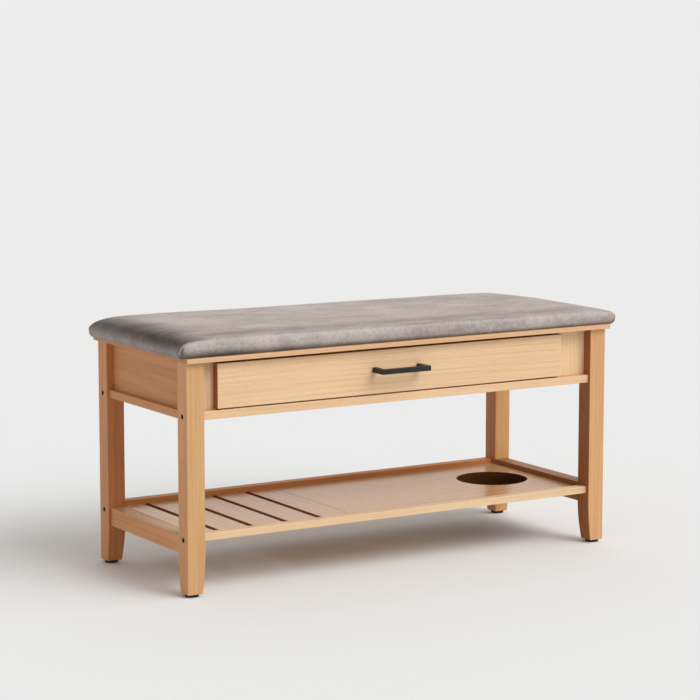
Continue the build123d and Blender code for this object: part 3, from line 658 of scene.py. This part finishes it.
def make_black_metal():
    """Matt black coat."""
    material, tree, shader = new_material("black_coat")
    point = object_place(tree)
    speckle = noise(tree, point, COAT_SPECKLE, detail=2.0)
    cloud = spread(tree, noise(tree, point, COAT_CLOUDS, detail=4.0))
    feed(tree, shader.inputs["Base Color"], mixed(tree, cloud, *COAT_COLOURS))
    feed(tree, shader.inputs["Roughness"], spread(tree, speckle, *COAT_ROUGHNESS))
    raise_surface(tree, shader, speckle, COAT_BUMP, FINE_HEIGHT)
    shader.inputs["Specular IOR Level"].default_value = COAT_GLOSS
    return material


def make_zinc():
    """Zinc-plated steel, with streaks along Y."""
    material, tree, shader = new_material("zinc_steel")
    point = object_place(tree)
    streak = noise(tree, stretched(tree, point, ZINC_STRETCH), detail=3.0)
    bloom = spread(tree, noise(tree, point, ZINC_BLOOM, detail=3.0))
    feed(tree, shader.inputs["Base Color"], mixed(tree, bloom, *ZINC_COLOURS))
    shader.inputs["Metallic"].default_value = 1.0
    feed(tree, shader.inputs["Roughness"], spread(tree, streak, *ZINC_ROUGHNESS))
    raise_surface(tree, shader, streak, ZINC_BUMP, FINE_HEIGHT)
    return material


def make_glide_plastic():
    """Dark plastic with scuffs."""
    material, tree, shader = new_material("glide_plastic")
    point = object_place(tree)
    scuff = stepped(tree, noise(tree, stretched(tree, point, SCUFF_STRETCH)), *SCUFF_LIMITS)
    feed(tree, shader.inputs["Base Color"], mixed(tree, scuff, *PLASTIC_COLOURS))
    feed(tree, shader.inputs["Roughness"], stepped(tree, scuff, 0.0, 1.0, *PLASTIC_ROUGHNESS))
    raise_surface(tree, shader, scuff, PLASTIC_BUMP, FINE_HEIGHT)
    shader.inputs["Specular IOR Level"].default_value = PLASTIC_GLOSS
    return material


FINISHES = {"black_metal": make_black_metal(), "steel": make_zinc(), "glide_plastic": make_glide_plastic()}
for name, slot in slot_of.items():
    if slot in FINISHES:
        dress(name, FINISHES[slot])
print("finishes:", ", ".join(FINISHES))

# %% [markdown]
# ## Leather
# The seat is waxed leather that goes pale where it is stretched or rubbed, with clouds of darker colour.
# Noise of several sizes makes the clouds, the patches, the fine mottling and the scratches. Attributes on
# the mesh say where an edge is pale, partly rubbed and partly a painted highlight; where painted shade
# darkens the ends and the foot, and a band behind the front edge is darker, partly waxed and partly in
# painted shade; and where the crease beside a fold gets painted shade. A Voronoi pattern gives the pebbled
# grain, far finer than a stitch, and a wide noise gives the soft lumps of the foam.

# %% Leather finish
CLOUD_PALE = (0.46, 0.41, 0.39, 1)
CLOUD_DARK = (0.28, 0.238, 0.218, 1)
CLOUD_LIMITS = (0.30, 0.72)
CLOUD_WIDE = (0.6, 1.0, 1.0)
CLOUD_SCALE = 13.0
PATCH_SCALE = 46.0
MOTTLE_SCALE = 165.0
SCRATCH_STRETCH = (22.0, 150.0, 60.0)
# Two limits of the noise, the colour's share at each of them, and the colour
LAYERS = {
    "patch": (0.52, 0.76, 0.0, 0.55, (0.53, 0.49, 0.47, 1)),
    "scratch": (0.60, 0.80, 0.0, 0.35, (0.56, 0.52, 0.495, 1)),
    "mottle_dark": (0.36, 0.50, 0.34, 0.0, (0.22, 0.187, 0.172, 1)),
    "mottle_pale": (0.53, 0.68, 0.0, 0.36, (0.56, 0.52, 0.50, 1)),
}
# Two limits of the noise, and the level at each of them
RUB_AND_HIGHLIGHT_BREAKS = (0.25, 0.65, 0.35, 1.0)
SHADE_AND_WAX_BREAKS = (0.25, 0.75, 0.85, 1.1)
ROUGH_BREAKS = (0.25, 0.75, 0.40, 0.56)
# Pale edges: partly rubbed leather, partly a painted highlight
RUB_AND_HIGHLIGHT_COLOUR = (0.50, 0.47, 0.46, 1)
RUB_AND_HIGHLIGHT_SHARE = 0.35
# Painted shade at the pad's ends and foot, and a darker band behind the front edge, partly waxed
SHADE_AND_WAX_COLOUR = (0.032, 0.024, 0.021, 1)
SHADE_AND_WAX_ROUGH = 0.3
# Painted shade in the crease beside each fold
FOLD_SHADE_COLOUR = (0.05, 0.04, 0.035, 1)
FOLD_SHADE_SHARE = 0.9
LEATHER_GLOSS = 0.36
PEBBLE_SCALE = 620.0
PEBBLE_BUMP = 0.3
PEBBLE_HEIGHT = 0.0004
CREASE_STRETCH = (1.0, 1.4, 1.0)
CREASE_SCALE = 120.0
CREASE_SHARE = 0.8
LUMP_STRETCH = (1.0, 0.7, 0.5)
LUMP_SCALE = 21.0
LUMP_BUMP = 0.5
LUMP_HEIGHT = 0.004


def stored(tree, label):
    """A value stored on the points of the mesh."""
    return add(tree, "ShaderNodeAttribute", {"attribute_name": label}).outputs["Fac"]


def make_leather():
    """Clouded grey-brown leather."""
    material, tree, shader = new_material("seat_leather")
    point = object_place(tree)
    wide = stretched(tree, point, CLOUD_WIDE)
    cloud = noise(tree, wide, CLOUD_SCALE, detail=5.0, roughness=0.6, distortion=0.6)
    patch = noise(tree, point, PATCH_SCALE, detail=5.0, roughness=0.65, distortion=0.4)
    mottle = noise(tree, point, MOTTLE_SCALE, detail=3.0, roughness=0.65)
    scratch = noise(tree, stretched(tree, point, SCRATCH_STRETCH), detail=4.0, roughness=0.6)
    colour = mixed(tree, stepped(tree, cloud, *CLOUD_LIMITS), CLOUD_PALE, CLOUD_DARK)
    noises = {"patch": patch, "scratch": scratch, "mottle_dark": mottle, "mottle_pale": mottle}
    for label, (start, end, low, high, tone) in LAYERS.items():
        colour = mixed(tree, stepped(tree, noises[label], start, end, low, high), colour, tone)
    # Edges are paler, partly rubbed and partly a painted highlight
    pale = times(tree, stored(tree, "rub_and_highlight"), stepped(tree, patch, *RUB_AND_HIGHLIGHT_BREAKS))
    colour = mixed(tree, times(tree, pale, RUB_AND_HIGHLIGHT_SHARE), colour, RUB_AND_HIGHLIGHT_COLOUR)
    # Painted shade at the ends and foot, and a band behind the front edge, partly waxed and partly painted
    # shade
    shade_and_wax = stored(tree, "shade_and_wax")
    colour = mixed(tree, times(tree, shade_and_wax, stepped(tree, cloud, *SHADE_AND_WAX_BREAKS)), colour, SHADE_AND_WAX_COLOUR)
    # Painted shade in the crease beside each fold
    colour = mixed(tree, times(tree, stored(tree, "fold"), FOLD_SHADE_SHARE), colour, FOLD_SHADE_COLOUR)
    rough = value_of(tree, "ADD", stepped(tree, patch, *ROUGH_BREAKS), times(tree, shade_and_wax, SHADE_AND_WAX_ROUGH))
    feed(tree, shader.inputs["Base Color"], colour)
    feed(tree, shader.inputs["Roughness"], rough)
    pebble = add(tree, "ShaderNodeTexVoronoi", {"feature": "SMOOTH_F1"}, Vector=point, Scale=PEBBLE_SCALE)
    crease = noise(tree, stretched(tree, point, CREASE_STRETCH), CREASE_SCALE, detail=4.0)
    height = value_of(tree, "ADD", pebble.outputs[0], times(tree, crease, CREASE_SHARE))
    lumps = noise(tree, stretched(tree, point, LUMP_STRETCH), LUMP_SCALE, detail=1.0)
    soft = add(tree, "ShaderNodeBump", Strength=LUMP_BUMP, Distance=LUMP_HEIGHT, Height=lumps).outputs[0]
    raise_surface(tree, shader, height, PEBBLE_BUMP, PEBBLE_HEIGHT, soft)
    shader.inputs["Specular IOR Level"].default_value = LEATHER_GLOSS
    return material


leather = make_leather()
print("finish:", leather.name)

# %% [markdown]
# ## The seat pad
# Real upholstery is foam under a skin that is pulled down and stapled under the base. The pad starts as a
# block of four-sided faces, smaller near its edges. It is rounded, most at its left end, and drawn in along
# its sides.

# %% Seat pad block
# Radii of the block's edges along X, Y and Z, at its low ends and at its high ends
ROUND_LOW = np.array((0.020, 0.010, 0.0155))
ROUND_HIGH = np.array((0.010, 0.010, 0.0155))
END_TUCK = -0.002
SIDE_TUCK = 0.008
TUCK_HEIGHT = 0.022
PAD_DRAW = 0.002
EDGE_BAND = 0.036
EDGE_STEP = 0.003
OPEN_STEP = 0.009
TINY = 1e-9
pad_low, pad_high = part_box("seat_cover")
pad_middle = (pad_low + pad_high) / 2


def eased(value, start, end):
    """Smooth step of an array between two limits."""
    share = np.clip((value - start) / (end - start), 0, 1)
    return share * share * (3 - 2 * share)


def bell(away, reach):
    """An array that is 1 where a distance is zero and fades out past a reach."""
    return np.exp(-((away / reach) ** 2))


def linked(name, mesh):
    """A new object at the origin."""
    made = bpy.data.objects.new(name, mesh)
    bpy.context.scene.collection.objects.link(made)
    return made


def baked(thing):
    """The mesh of an object as its modifiers leave it."""
    graph = bpy.context.evaluated_depsgraph_get()
    return bpy.data.meshes.new_from_object(thing.evaluated_get(graph))


def with_modifier(thing, kind, **settings):
    """Replace an object's mesh by the result of one modifier."""
    modifier = thing.modifiers.new(kind.lower(), kind)
    for name, value in settings.items():
        setattr(modifier, name, value)
    result = baked(thing)
    thing.modifiers.clear()
    thing.data = result


def spaced(length):
    """Distances along a side, close together near both ends."""
    ends = np.linspace(0, EDGE_BAND, round(EDGE_BAND / EDGE_STEP), endpoint=False)
    middle = np.linspace(EDGE_BAND, length - EDGE_BAND, round((length - 2 * EDGE_BAND) / OPEN_STEP) + 1)
    return np.concatenate([ends, middle, length - ends[::-1]])


def block_faces(steps):
    """Points and faces of a box whose sides are cut at the given distances."""
    numbers, points, faces = {}, [], []
    for axis in range(3):
        first, second = (axis + 1) % 3, (axis + 2) % 3
        for side in (0, len(steps[axis]) - 1):
            for m in range(len(steps[first]) - 1):
                for n in range(len(steps[second]) - 1):
                    corners = []
                    for place in ((m, n), (m + 1, n), (m + 1, n + 1), (m, n + 1)):
                        key = [0, 0, 0]
                        key[axis], key[first], key[second] = side, *place
                        if tuple(key) not in numbers:
                            numbers[tuple(key)] = len(points)
                            points.append([steps[part][key[part]] for part in range(3)])
                        corners.append(numbers[tuple(key)])
                    faces.append(corners if side else corners[::-1])
    return np.array(points), faces


def pad_block():
    """The pad before it swells: a block rounded at its upper edges and its corners."""
    size = np.array(pad_high - pad_low)
    levels = np.linspace(0, size[2], round(size[2] / EDGE_STEP) + 1)
    points, faces = block_faces([spaced(size[0]), spaced(size[1]), levels])
    inner = np.clip(points, ROUND_LOW, size - ROUND_HIGH)
    inner[:, 2] = np.minimum(points[:, 2], size[2] - ROUND_HIGH[2])
    radii = np.where(points < size / 2, ROUND_LOW, ROUND_HIGH)
    away = (points - inner) / radii
    length = np.linalg.norm(away, axis=1, keepdims=True)
    points = inner + radii * away * np.abs(away).max(1, keepdims=True) / np.maximum(length, TINY)
    half = size[:2] / 2
    share = points[:, :2] / half - 1
    foot = np.clip(1 - points[:, 2] / TUCK_HEIGHT, 0, 1) ** 2
    drawn = foot[:, None] * (END_TUCK, SIDE_TUCK) + PAD_DRAW * (1 - share[:, ::-1] ** 2)
    points[:, :2] = half + share * (half - drawn)
    mesh = bpy.data.meshes.new("seat_cushion")
    mesh.from_pydata((points + np.array(pad_low)).tolist(), [], faces)
    return linked("seat_cushion", mesh)


cushion = pad_block()
print("pad block:", len(cushion.data.vertices), "points")

# %% [markdown]
# ## Swelling the pad
# A cloth simulation swells the block with air pressure. The underside is held fast. Every other point is
# held softly, which stands for the firm foam: the seat crowns and the walls bulge by a few millimetres
# only. The result is fitted to the box of the CAD cover.

# %% Seat pad simulation
PRESSURE = 30.0
LAST_FRAME = 20
CLOTH_STIFFNESS = 3.0
CLOTH_SHEAR = 1.0
CLOTH_QUALITY = 4
FOAM_HOLD = 0.3
WALL_HOLD = 0.2
HELD_HEIGHT = 0.004
WALL_TOP = 0.024


def points_of(mesh):
    """All points of a mesh as an array."""
    flat = np.empty(len(mesh.vertices) * 3, np.float32)
    mesh.vertices.foreach_get("co", flat)
    return flat.reshape(-1, 3).astype(float)


def set_points(mesh, points):
    """Move all points of a mesh."""
    mesh.vertices.foreach_set("co", points.astype(np.float32).ravel())
    mesh.update()


def swell(thing):
    """Swell the pad by cloth simulation, with its underside held fast and the rest held softly."""
    before = points_of(thing.data)
    rise = before[:, 2] - pad_low.z
    held = thing.vertex_groups.new(name="held")
    held.add(list(range(len(before))), FOAM_HOLD, "REPLACE")
    held.add(np.flatnonzero(rise < WALL_TOP).tolist(), WALL_HOLD, "REPLACE")
    held.add(np.flatnonzero(rise < HELD_HEIGHT).tolist(), 1.0, "REPLACE")
    cloth = thing.modifiers.new("cloth", "CLOTH")
    settings = cloth.settings
    settings.vertex_group_mass = "held"
    settings.use_pressure = True
    settings.uniform_pressure_force = PRESSURE
    settings.effector_weights.gravity = 0.0
    settings.tension_stiffness = CLOTH_STIFFNESS
    settings.compression_stiffness = CLOTH_STIFFNESS
    settings.shear_stiffness = CLOTH_SHEAR
    settings.quality = CLOTH_QUALITY
    cloth.point_cache.frame_end = LAST_FRAME
    for step in range(1, LAST_FRAME + 1):
        bpy.context.scene.frame_set(step)
    swollen = baked(thing)
    after = points_of(swollen)
    bpy.data.meshes.remove(swollen)
    thing.modifiers.clear()
    thing.vertex_groups.clear()
    bpy.context.scene.frame_set(1)
    set_points(thing.data, after)
    return float(np.linalg.norm(after - before, axis=1).max())


def fit_pad(thing):
    """Stretch the pad to the box of the CAD cover."""
    points = points_of(thing.data)
    low, high = points.min(0), points.max(0)
    share = (points - low) / (high - low)
    set_points(thing.data, np.array(pad_low) + share * np.array(pad_high - pad_low))


print("largest swell:", round(swell(cushion) / MM, 1), "mm")
fit_pad(cushion)

# %% [markdown]
# ## Sag, folds and marks
# A seat is not quite even: it rises near the left, sags near the right, rolls off at both ends, and its
# ends bulge. At each corner the leather of the end is laid over the side in a fold. Where an edge is pale,
# partly rubbed and partly a painted highlight, where painted shade darkens the leather, partly waxed, and
# where the crease beside a fold gets painted shade is stored on the points, for the finish to read.

# %% Seat pad details
CORNER_END = 0.018
CORNER_SIDE = 0.03
CORNER_FOOT = 0.001
FOLD_LOW = 0.0065
FOLD_HIGH = 0.004
FOLD_BEND = (0.008, 0.026)
FOLD_STEP = 0.0014
FOLD_RUN = 0.012
FOLD_END_FADE = (0.006, 0.013)
FOLD_TOP_FADE = (0.020, 0.027)
PLY_EDGE = 0.0006
CREASE_WIDTH = 0.0014
CREASE_PLACE = 1.3 * CREASE_WIDTH
CREASE_DEPTH = 0.8
# Width of the painted shade in the crease beside each fold
CREASE_SHADE_WIDTH = 0.9 * CREASE_WIDTH
DROP_HEIGHT = 0.036
CORNER_DROP = 0.001
CORNER_REACH = 0.030
ROLL_LEFT = 0.003
ROLL_BACK_LEFT = 0.005
ROLL_RIGHT = 0.006
ROLL_REACH = 0.032
LEFT_RISE = 0.0035
LEFT_PLACE = -0.38
RIGHT_SAG = 0.0022
RIGHT_PLACE = 0.30
SAG_REACH = 0.17
BACK_DROP = 0.0050
BACK_REACH = 0.095
LEFT_BULGE = 0.004
RIGHT_BULGE = 0.006
BULGE_REACH = 0.06
BULGE_HEIGHTS = (-0.004, 0.008)
FADE_END = 0.2
# Painted shade over the pad's ends, most at the left one, which faces away from the key lamps
PAD_END_SHADE_LOW = 0.006
PAD_END_SHADE_HIGH = 0.030
PAD_END_SHADE_REACH = 0.056
PAD_END_SHADE_RIGHT = 0.1
PAD_END_SHADE_WALL = 0.1
PAD_END_SHADE_SIDE_FADE = (0.2, 0.95)
# A little painted shade over the left half of the pad
LONG_SHADE = 0.01
# A band behind the front edge, partly waxed and partly painted shade
FRONT_SHADE_AND_WAX = 0.40
FRONT_PLACE = 0.042
FRONT_REACH = 0.036
FRONT_FADE = 0.5
FRONT_SLOPES = (0.7, 0.95)
# A painted contact shadow low down along the foot of the pad
FOOT_SHADOW = 0.85
FOOT_HIGH = 0.0075
FOOT_HIGH_LEFT = 0.020
FOOT_FADE = 0.35
FOOT_LEAST = 0.35
FOOT_SLOPES = (0.3, 0.7)
# Slope and spread of the pale edges, partly rubbed and partly a painted highlight
RUB_AND_HIGHLIGHT_SLOPE = 0.64
RUB_AND_HIGHLIGHT_SPREAD = 0.22


def normals_of(mesh):
    """The directions of the surface at all points of a mesh."""
    flat = np.empty(len(mesh.vertices) * 3, np.float32)
    mesh.vertex_normals.foreach_get("vector", flat)
    return flat.reshape(-1, 3)


def store(mesh, label, values):
    """Store a value for every point of a mesh."""
    attribute = mesh.attributes.new(label, "FLOAT", "POINT")
    attribute.data.foreach_set("value", values.astype(np.float32))


def inside(points):
    """How far points lie from the pad's nearer end, from its nearer side, and above the board."""
    end_gap = np.minimum(points[:, 0] - pad_low.x, pad_high.x - points[:, 0])
    side_gap = np.minimum(points[:, 1] - pad_low.y, pad_high.y - points[:, 1])
    return end_gap, side_gap, points[:, 2] - pad_low.z


def refine_corners(thing):
    """Halve the faces near the four corners, where the folds need finer points."""
    shape = bmesh.new()
    shape.from_mesh(thing.data)
    near = []
    for edge in shape.edges:
        middle = (edge.verts[0].co + edge.verts[1].co) / 2
        end_gap = min(middle.x - pad_low.x, pad_high.x - middle.x)
        side_gap = min(middle.y - pad_low.y, pad_high.y - middle.y)
        if end_gap < CORNER_END and side_gap < CORNER_SIDE and middle.z > pad_low.z + CORNER_FOOT:
            near.append(edge)
    bmesh.ops.subdivide_edges(shape, edges=near, cuts=1, use_grid_fill=True, smooth=0.0)
    shape.to_mesh(thing.data)
    shape.free()


def fold_line(rise):
    """How far the fold lies from the front or the back, at a height above the board."""
    return FOLD_LOW + (FOLD_HIGH - FOLD_LOW) * eased(rise, *FOLD_BEND)


def shape_pad(thing):
    """Let the seat sag and its ends bulge, and lay the leather of each end over the sides in a fold."""
    mesh = thing.data
    points = points_of(mesh)
    end_gap, side_gap, rise = inside(points)
    on_left = points[:, 0] < pad_middle.x
    drop = CORNER_DROP * bell(np.hypot(end_gap, side_gap), CORNER_REACH)
    at_left = ROLL_LEFT + ROLL_BACK_LEFT * eased(points[:, 1], pad_low.y, pad_middle.y)
    drop += np.where(on_left, at_left, ROLL_RIGHT) * bell(end_gap, ROLL_REACH)
    drop += RIGHT_SAG * bell(points[:, 0] - RIGHT_PLACE, SAG_REACH)
    drop -= LEFT_RISE * bell(points[:, 0] - LEFT_PLACE, SAG_REACH)
    from_back = np.hypot(pad_high.x - points[:, 0], pad_high.y - points[:, 1])
    drop += BACK_DROP * bell(from_back, BACK_REACH)
    drop *= eased(rise, 0.0, DROP_HEIGHT)
    bulge = np.where(on_left, -LEFT_BULGE, RIGHT_BULGE)
    bulge *= (1 - eased(end_gap, 0, BULGE_REACH)) * eased(rise, *BULGE_HEIGHTS)
    past = side_gap - fold_line(rise)
    shown = (1 - eased(end_gap, *FOLD_END_FADE)) * (1 - eased(rise, *FOLD_TOP_FADE))
    ply = eased(past, -PLY_EDGE, PLY_EDGE) * np.exp(-np.maximum(past, 0) / FOLD_RUN)
    crease = bell(past + CREASE_PLACE, CREASE_WIDTH)
    points += normals_of(mesh) * (shown * FOLD_STEP * (ply - CREASE_DEPTH * crease))[:, None]
    points[:, 2] -= drop
    points[:, 0] += bulge
    set_points(mesh, points)
    # The crease beside each fold gets painted shade
    store(mesh, "fold", shown * bell(past + CREASE_SHADE_WIDTH, CREASE_SHADE_WIDTH))


def mark_leather(thing):
    """Store pale edges, rubbed and painted highlight, and painted shade at ends and foot and, partly waxed,
    in front.
    """
    mesh = thing.data
    normals = normals_of(mesh)
    to_side = np.abs(normals[:, 1])
    points = points_of(mesh)
    end_gap, _, rise = inside(points)
    to_right = eased(points[:, 0], pad_low.x, pad_middle.x + FADE_END)
    # Painted shade over the ends, most at the left one, which faces away from the key lamps
    shade_and_wax = bell(np.maximum(end_gap, 0), PAD_END_SHADE_REACH)
    shade_and_wax *= PAD_END_SHADE_WALL + (1 - PAD_END_SHADE_WALL) * eased(rise, PAD_END_SHADE_LOW, PAD_END_SHADE_HIGH)
    shade_and_wax *= np.where(points[:, 0] > pad_middle.x, PAD_END_SHADE_RIGHT, 1.0)
    shade_and_wax *= 1 - eased(to_side, *PAD_END_SHADE_SIDE_FADE)
    # A band behind the front edge, partly waxed and partly painted shade
    band = bell(points[:, 1] - pad_low.y - FRONT_PLACE, FRONT_REACH) * (1 - FRONT_FADE * to_right)
    shade_and_wax = np.maximum(shade_and_wax, FRONT_SHADE_AND_WAX * band * eased(normals[:, 2], *FRONT_SLOPES))
    # A little painted shade over the left half
    shade_and_wax += LONG_SHADE * (1 - to_right) * (1 - shade_and_wax)
    # A painted contact shadow low down along the foot
    foot = FOOT_HIGH_LEFT + (FOOT_HIGH - FOOT_HIGH_LEFT) * to_right
    low_down = FOOT_SHADOW * (1 - FOOT_FADE * to_right) * (1 - eased(rise / foot, 0.0, 1.0))
    shade_and_wax = np.maximum(shade_and_wax, low_down * (FOOT_LEAST + (1 - FOOT_LEAST) * eased(to_side, *FOOT_SLOPES)))
    # Edges that slope up and out are paler: partly rubbed, partly a painted highlight
    store(mesh, "rub_and_highlight", bell(normals[:, 2] - RUB_AND_HIGHLIGHT_SLOPE, RUB_AND_HIGHLIGHT_SPREAD) * (1 - shade_and_wax))
    store(mesh, "shade_and_wax", shade_and_wax)


with_modifier(cushion, "SUBSURF", levels=1, render_levels=1)
refine_corners(cushion)
shape_pad(cushion)
mark_leather(cushion)
cushion.data.materials.clear()
cushion.data.materials.append(leather)
cushion.data.polygons.foreach_set("use_smooth", [True] * len(cushion.data.polygons))
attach(cushion, "bench")
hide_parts("seat_cover", "seat_foam")
print("seat pad:", len(cushion.data.polygons), "faces")

# %% [markdown]
# ## Geometry Nodes from a script
# A Geometry Nodes tree is built once, with named inputs. It is run on an object as a modifier, and the
# result is kept as a plain mesh.

# %% Geometry Nodes helpers
def geometry_tree(name, inputs):
    """A Geometry Nodes tree with named inputs, as (tree, input sockets, output sockets)."""
    tree = bpy.data.node_groups.new(name, "GeometryNodeTree")
    tree.interface.new_socket("Geometry", in_out="INPUT", socket_type="NodeSocketGeometry")
    for label, kind in inputs.items():
        tree.interface.new_socket(label, in_out="INPUT", socket_type=f"NodeSocket{kind}")
    tree.interface.new_socket("Geometry", in_out="OUTPUT", socket_type="NodeSocketGeometry")
    start = tree.nodes.new("NodeGroupInput")
    end = tree.nodes.new("NodeGroupOutput")
    return tree, start.outputs, end.inputs


def run_tree(thing, tree, **values):
    """Run a tree on an object and keep its result as a plain mesh."""
    modifier = thing.modifiers.new(tree.name, "NODES")
    modifier.node_group = tree
    for item in tree.interface.items_tree:
        if item.in_out == "INPUT" and item.name in values:
            modifier[item.identifier] = values[item.name]
    result = baked(thing)
    thing.modifiers.clear()
    thing.data = result


def close_tree(tree, geometry, material, result):
    """End a tree with real meshes in one material."""
    whole = add(tree, "GeometryNodeRealizeInstances", Geometry=geometry).outputs[0]
    painted = add(tree, "GeometryNodeSetMaterial", Geometry=whole, Material=material).outputs[0]
    feed(tree, result["Geometry"], painted)
    return tree


# %% [markdown]
# ## Fold edges
# At the two corners of the right end, the edge of the fold shows as a thin pale ridge. The left corners are
# rounder and have none. A ridge follows a path on the pad, so Geometry Nodes draw it: the path's points
# become a curve, a small circle is swept along it, and the radius is a named input.

# %% Fold ridges
RIDGE_RADIUS = 0.0009
RIDGE_SIDES = 8
RIDGE_STEPS = 22
RIDGE_START = 0.0015
RIDGE_RISE = 0.020
RIDGE_DEEP = 0.02
RIDGE_SUNK = 0.4 * RIDGE_RADIUS
RAY_START = 1.0


def make_ridge_tree():
    """Sweep a small circle along every path of a mesh."""
    tree, given, result = geometry_tree("fold_ridge", {"Radius": "Float", "Material": "Material"})
    path = add(tree, "GeometryNodeMeshToCurve", Mesh=given["Geometry"]).outputs[0]
    ring = add(
        tree,
        "GeometryNodeCurvePrimitiveCircle",
        {"mode": "RADIUS"},
        Resolution=RIDGE_SIDES,
        Radius=given["Radius"],
    ).outputs[0]
    tube = add(tree, "GeometryNodeCurveToMesh", Curve=path, Profile_Curve=ring, Fill_Caps=True).outputs[0]
    smooth = add(tree, "GeometryNodeSetShadeSmooth", Geometry=tube).outputs[0]
    return close_tree(tree, smooth, given["Material"], result)


def fold_paths():
    """Paths up the two folds of the right end, read from the pad's own surface."""
    surface = BVHTree.FromPolygons(
        [vert.co.copy() for vert in cushion.data.vertices],
        [tuple(face.vertices) for face in cushion.data.polygons],
    )
    points, edges = [], []
    for edge, inward in ((pad_low.y, 1), (pad_high.y, -1)):
        first = len(points)
        for step in range(RIDGE_STEPS):
            rise = RIDGE_START + RIDGE_RISE * step / (RIDGE_STEPS - 1)
            y = edge + inward * float(fold_line(rise))
            start = Vector((pad_middle.x + RAY_START, y, pad_low.z + rise))
            hit = surface.ray_cast(start, Vector((-1, 0, 0)))[0]
            if hit is None or (hit - start).length > RAY_START - pad_high.x + RIDGE_DEEP:
                break
            points.append(hit - Vector((RIDGE_SUNK, 0, 0)))
        edges += [(number - 1, number) for number in range(first + 1, len(points))]
    mesh = bpy.data.meshes.new("fold_paths")
    mesh.from_pydata(points, edges, [])
    return mesh


ridges = linked("seat_fold_ridges", fold_paths())
run_tree(ridges, make_ridge_tree(), Radius=RIDGE_RADIUS, Material=leather)
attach(ridges, "bench")
print("fold ridges:", len(ridges.data.polygons), "faces")

# %% [markdown]
# ## Screw recesses
# The screws under the top board and inside the drawer have a cross recess, which the CAD model leaves out.
# Geometry Nodes put one thin black cross on every screw head to stand for it: painted shade of the hollow,
# which is not cut. The heads are found in the CAD meshes, so the crosses stay with them. One object is made
# for each body that has screws.

# %% Screw recesses
CROSS_LENGTH = 0.0044
CROSS_WIDTH = 0.0010
CROSS_PROUD = 0.00004
CROSS_TURN = math.radians(90)
BOARD_TURN = (0, 0, math.radians(30))
DRAWER_TURN = (math.radians(90), 0, 0)
HEAD_REACH = 0.006
HEAD_FACE = 0.0005


def head_places(name, axis, sign):
    """Middles of the screw heads of a node, on the side that a sign gives along an axis."""
    points = points_of(nodes[name].data)
    outer = points[:, axis].max() if sign > 0 else points[:, axis].min()
    left = points[np.abs(points[:, axis] - outer) < HEAD_FACE]
    places = []
    while len(left):
        near = np.linalg.norm(left - left[0], axis=1) < 2 * HEAD_REACH
        places.append((left[near].min(0) + left[near].max(0)) / 2)
        left = left[~near]
    return places


def make_cross_tree():
    """One cross on every point, turned to the face of the screw."""
    tree, given, result = geometry_tree(
        "recess_shade_cross", {"Length": "Float", "Width": "Float", "Turn": "Rotation", "Material": "Material"}
    )
    thick = 2 * CROSS_PROUD
    size = add(tree, "ShaderNodeCombineXYZ", X=given["Length"], Y=given["Width"], Z=thick).outputs[0]
    bar = add(tree, "GeometryNodeMeshCube", Size=size).outputs[0]
    other = add(tree, "GeometryNodeTransform", Geometry=bar, Rotation=(0, 0, CROSS_TURN)).outputs[0]
    both = tree.nodes.new("GeometryNodeJoinGeometry")
    tree.links.new(bar, both.inputs[0])
    tree.links.new(other, both.inputs[0])
    crosses = add(
        tree,
        "GeometryNodeInstanceOnPoints",
        Points=add(tree, "GeometryNodeMeshToPoints", Mesh=given["Geometry"]).outputs[0],
        Instance=both.outputs[0],
        Rotation=given["Turn"],
    ).outputs[0]
    return close_tree(tree, crosses, given["Material"], result)


def make_crosses(name, body, places, turn):
    """The crosses of one body."""
    mesh = bpy.data.meshes.new(name)
    mesh.from_pydata([tuple(place) for place in places], [], [])
    thing = linked(name, mesh)
    # The black coat paints the shade inside each recess
    run_tree(
        thing, cross_tree, Length=CROSS_LENGTH, Width=CROSS_WIDTH, Turn=turn, Material=FINISHES["black_metal"]
    )
    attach(thing, body)
    print(name, len(places), "crosses")


cross_tree = make_cross_tree()
under_board = head_places("top_board_screws", 2, -1) + head_places("seat_base_screws", 2, -1)
make_crosses("board_recess_shade", "bench", under_board, BOARD_TURN)
in_drawer = head_places("drawer_front_screws", 1, 1) + head_places("handle_screws", 1, 1)
make_crosses("drawer_recess_shade", "drawer", in_drawer, DRAWER_TURN)
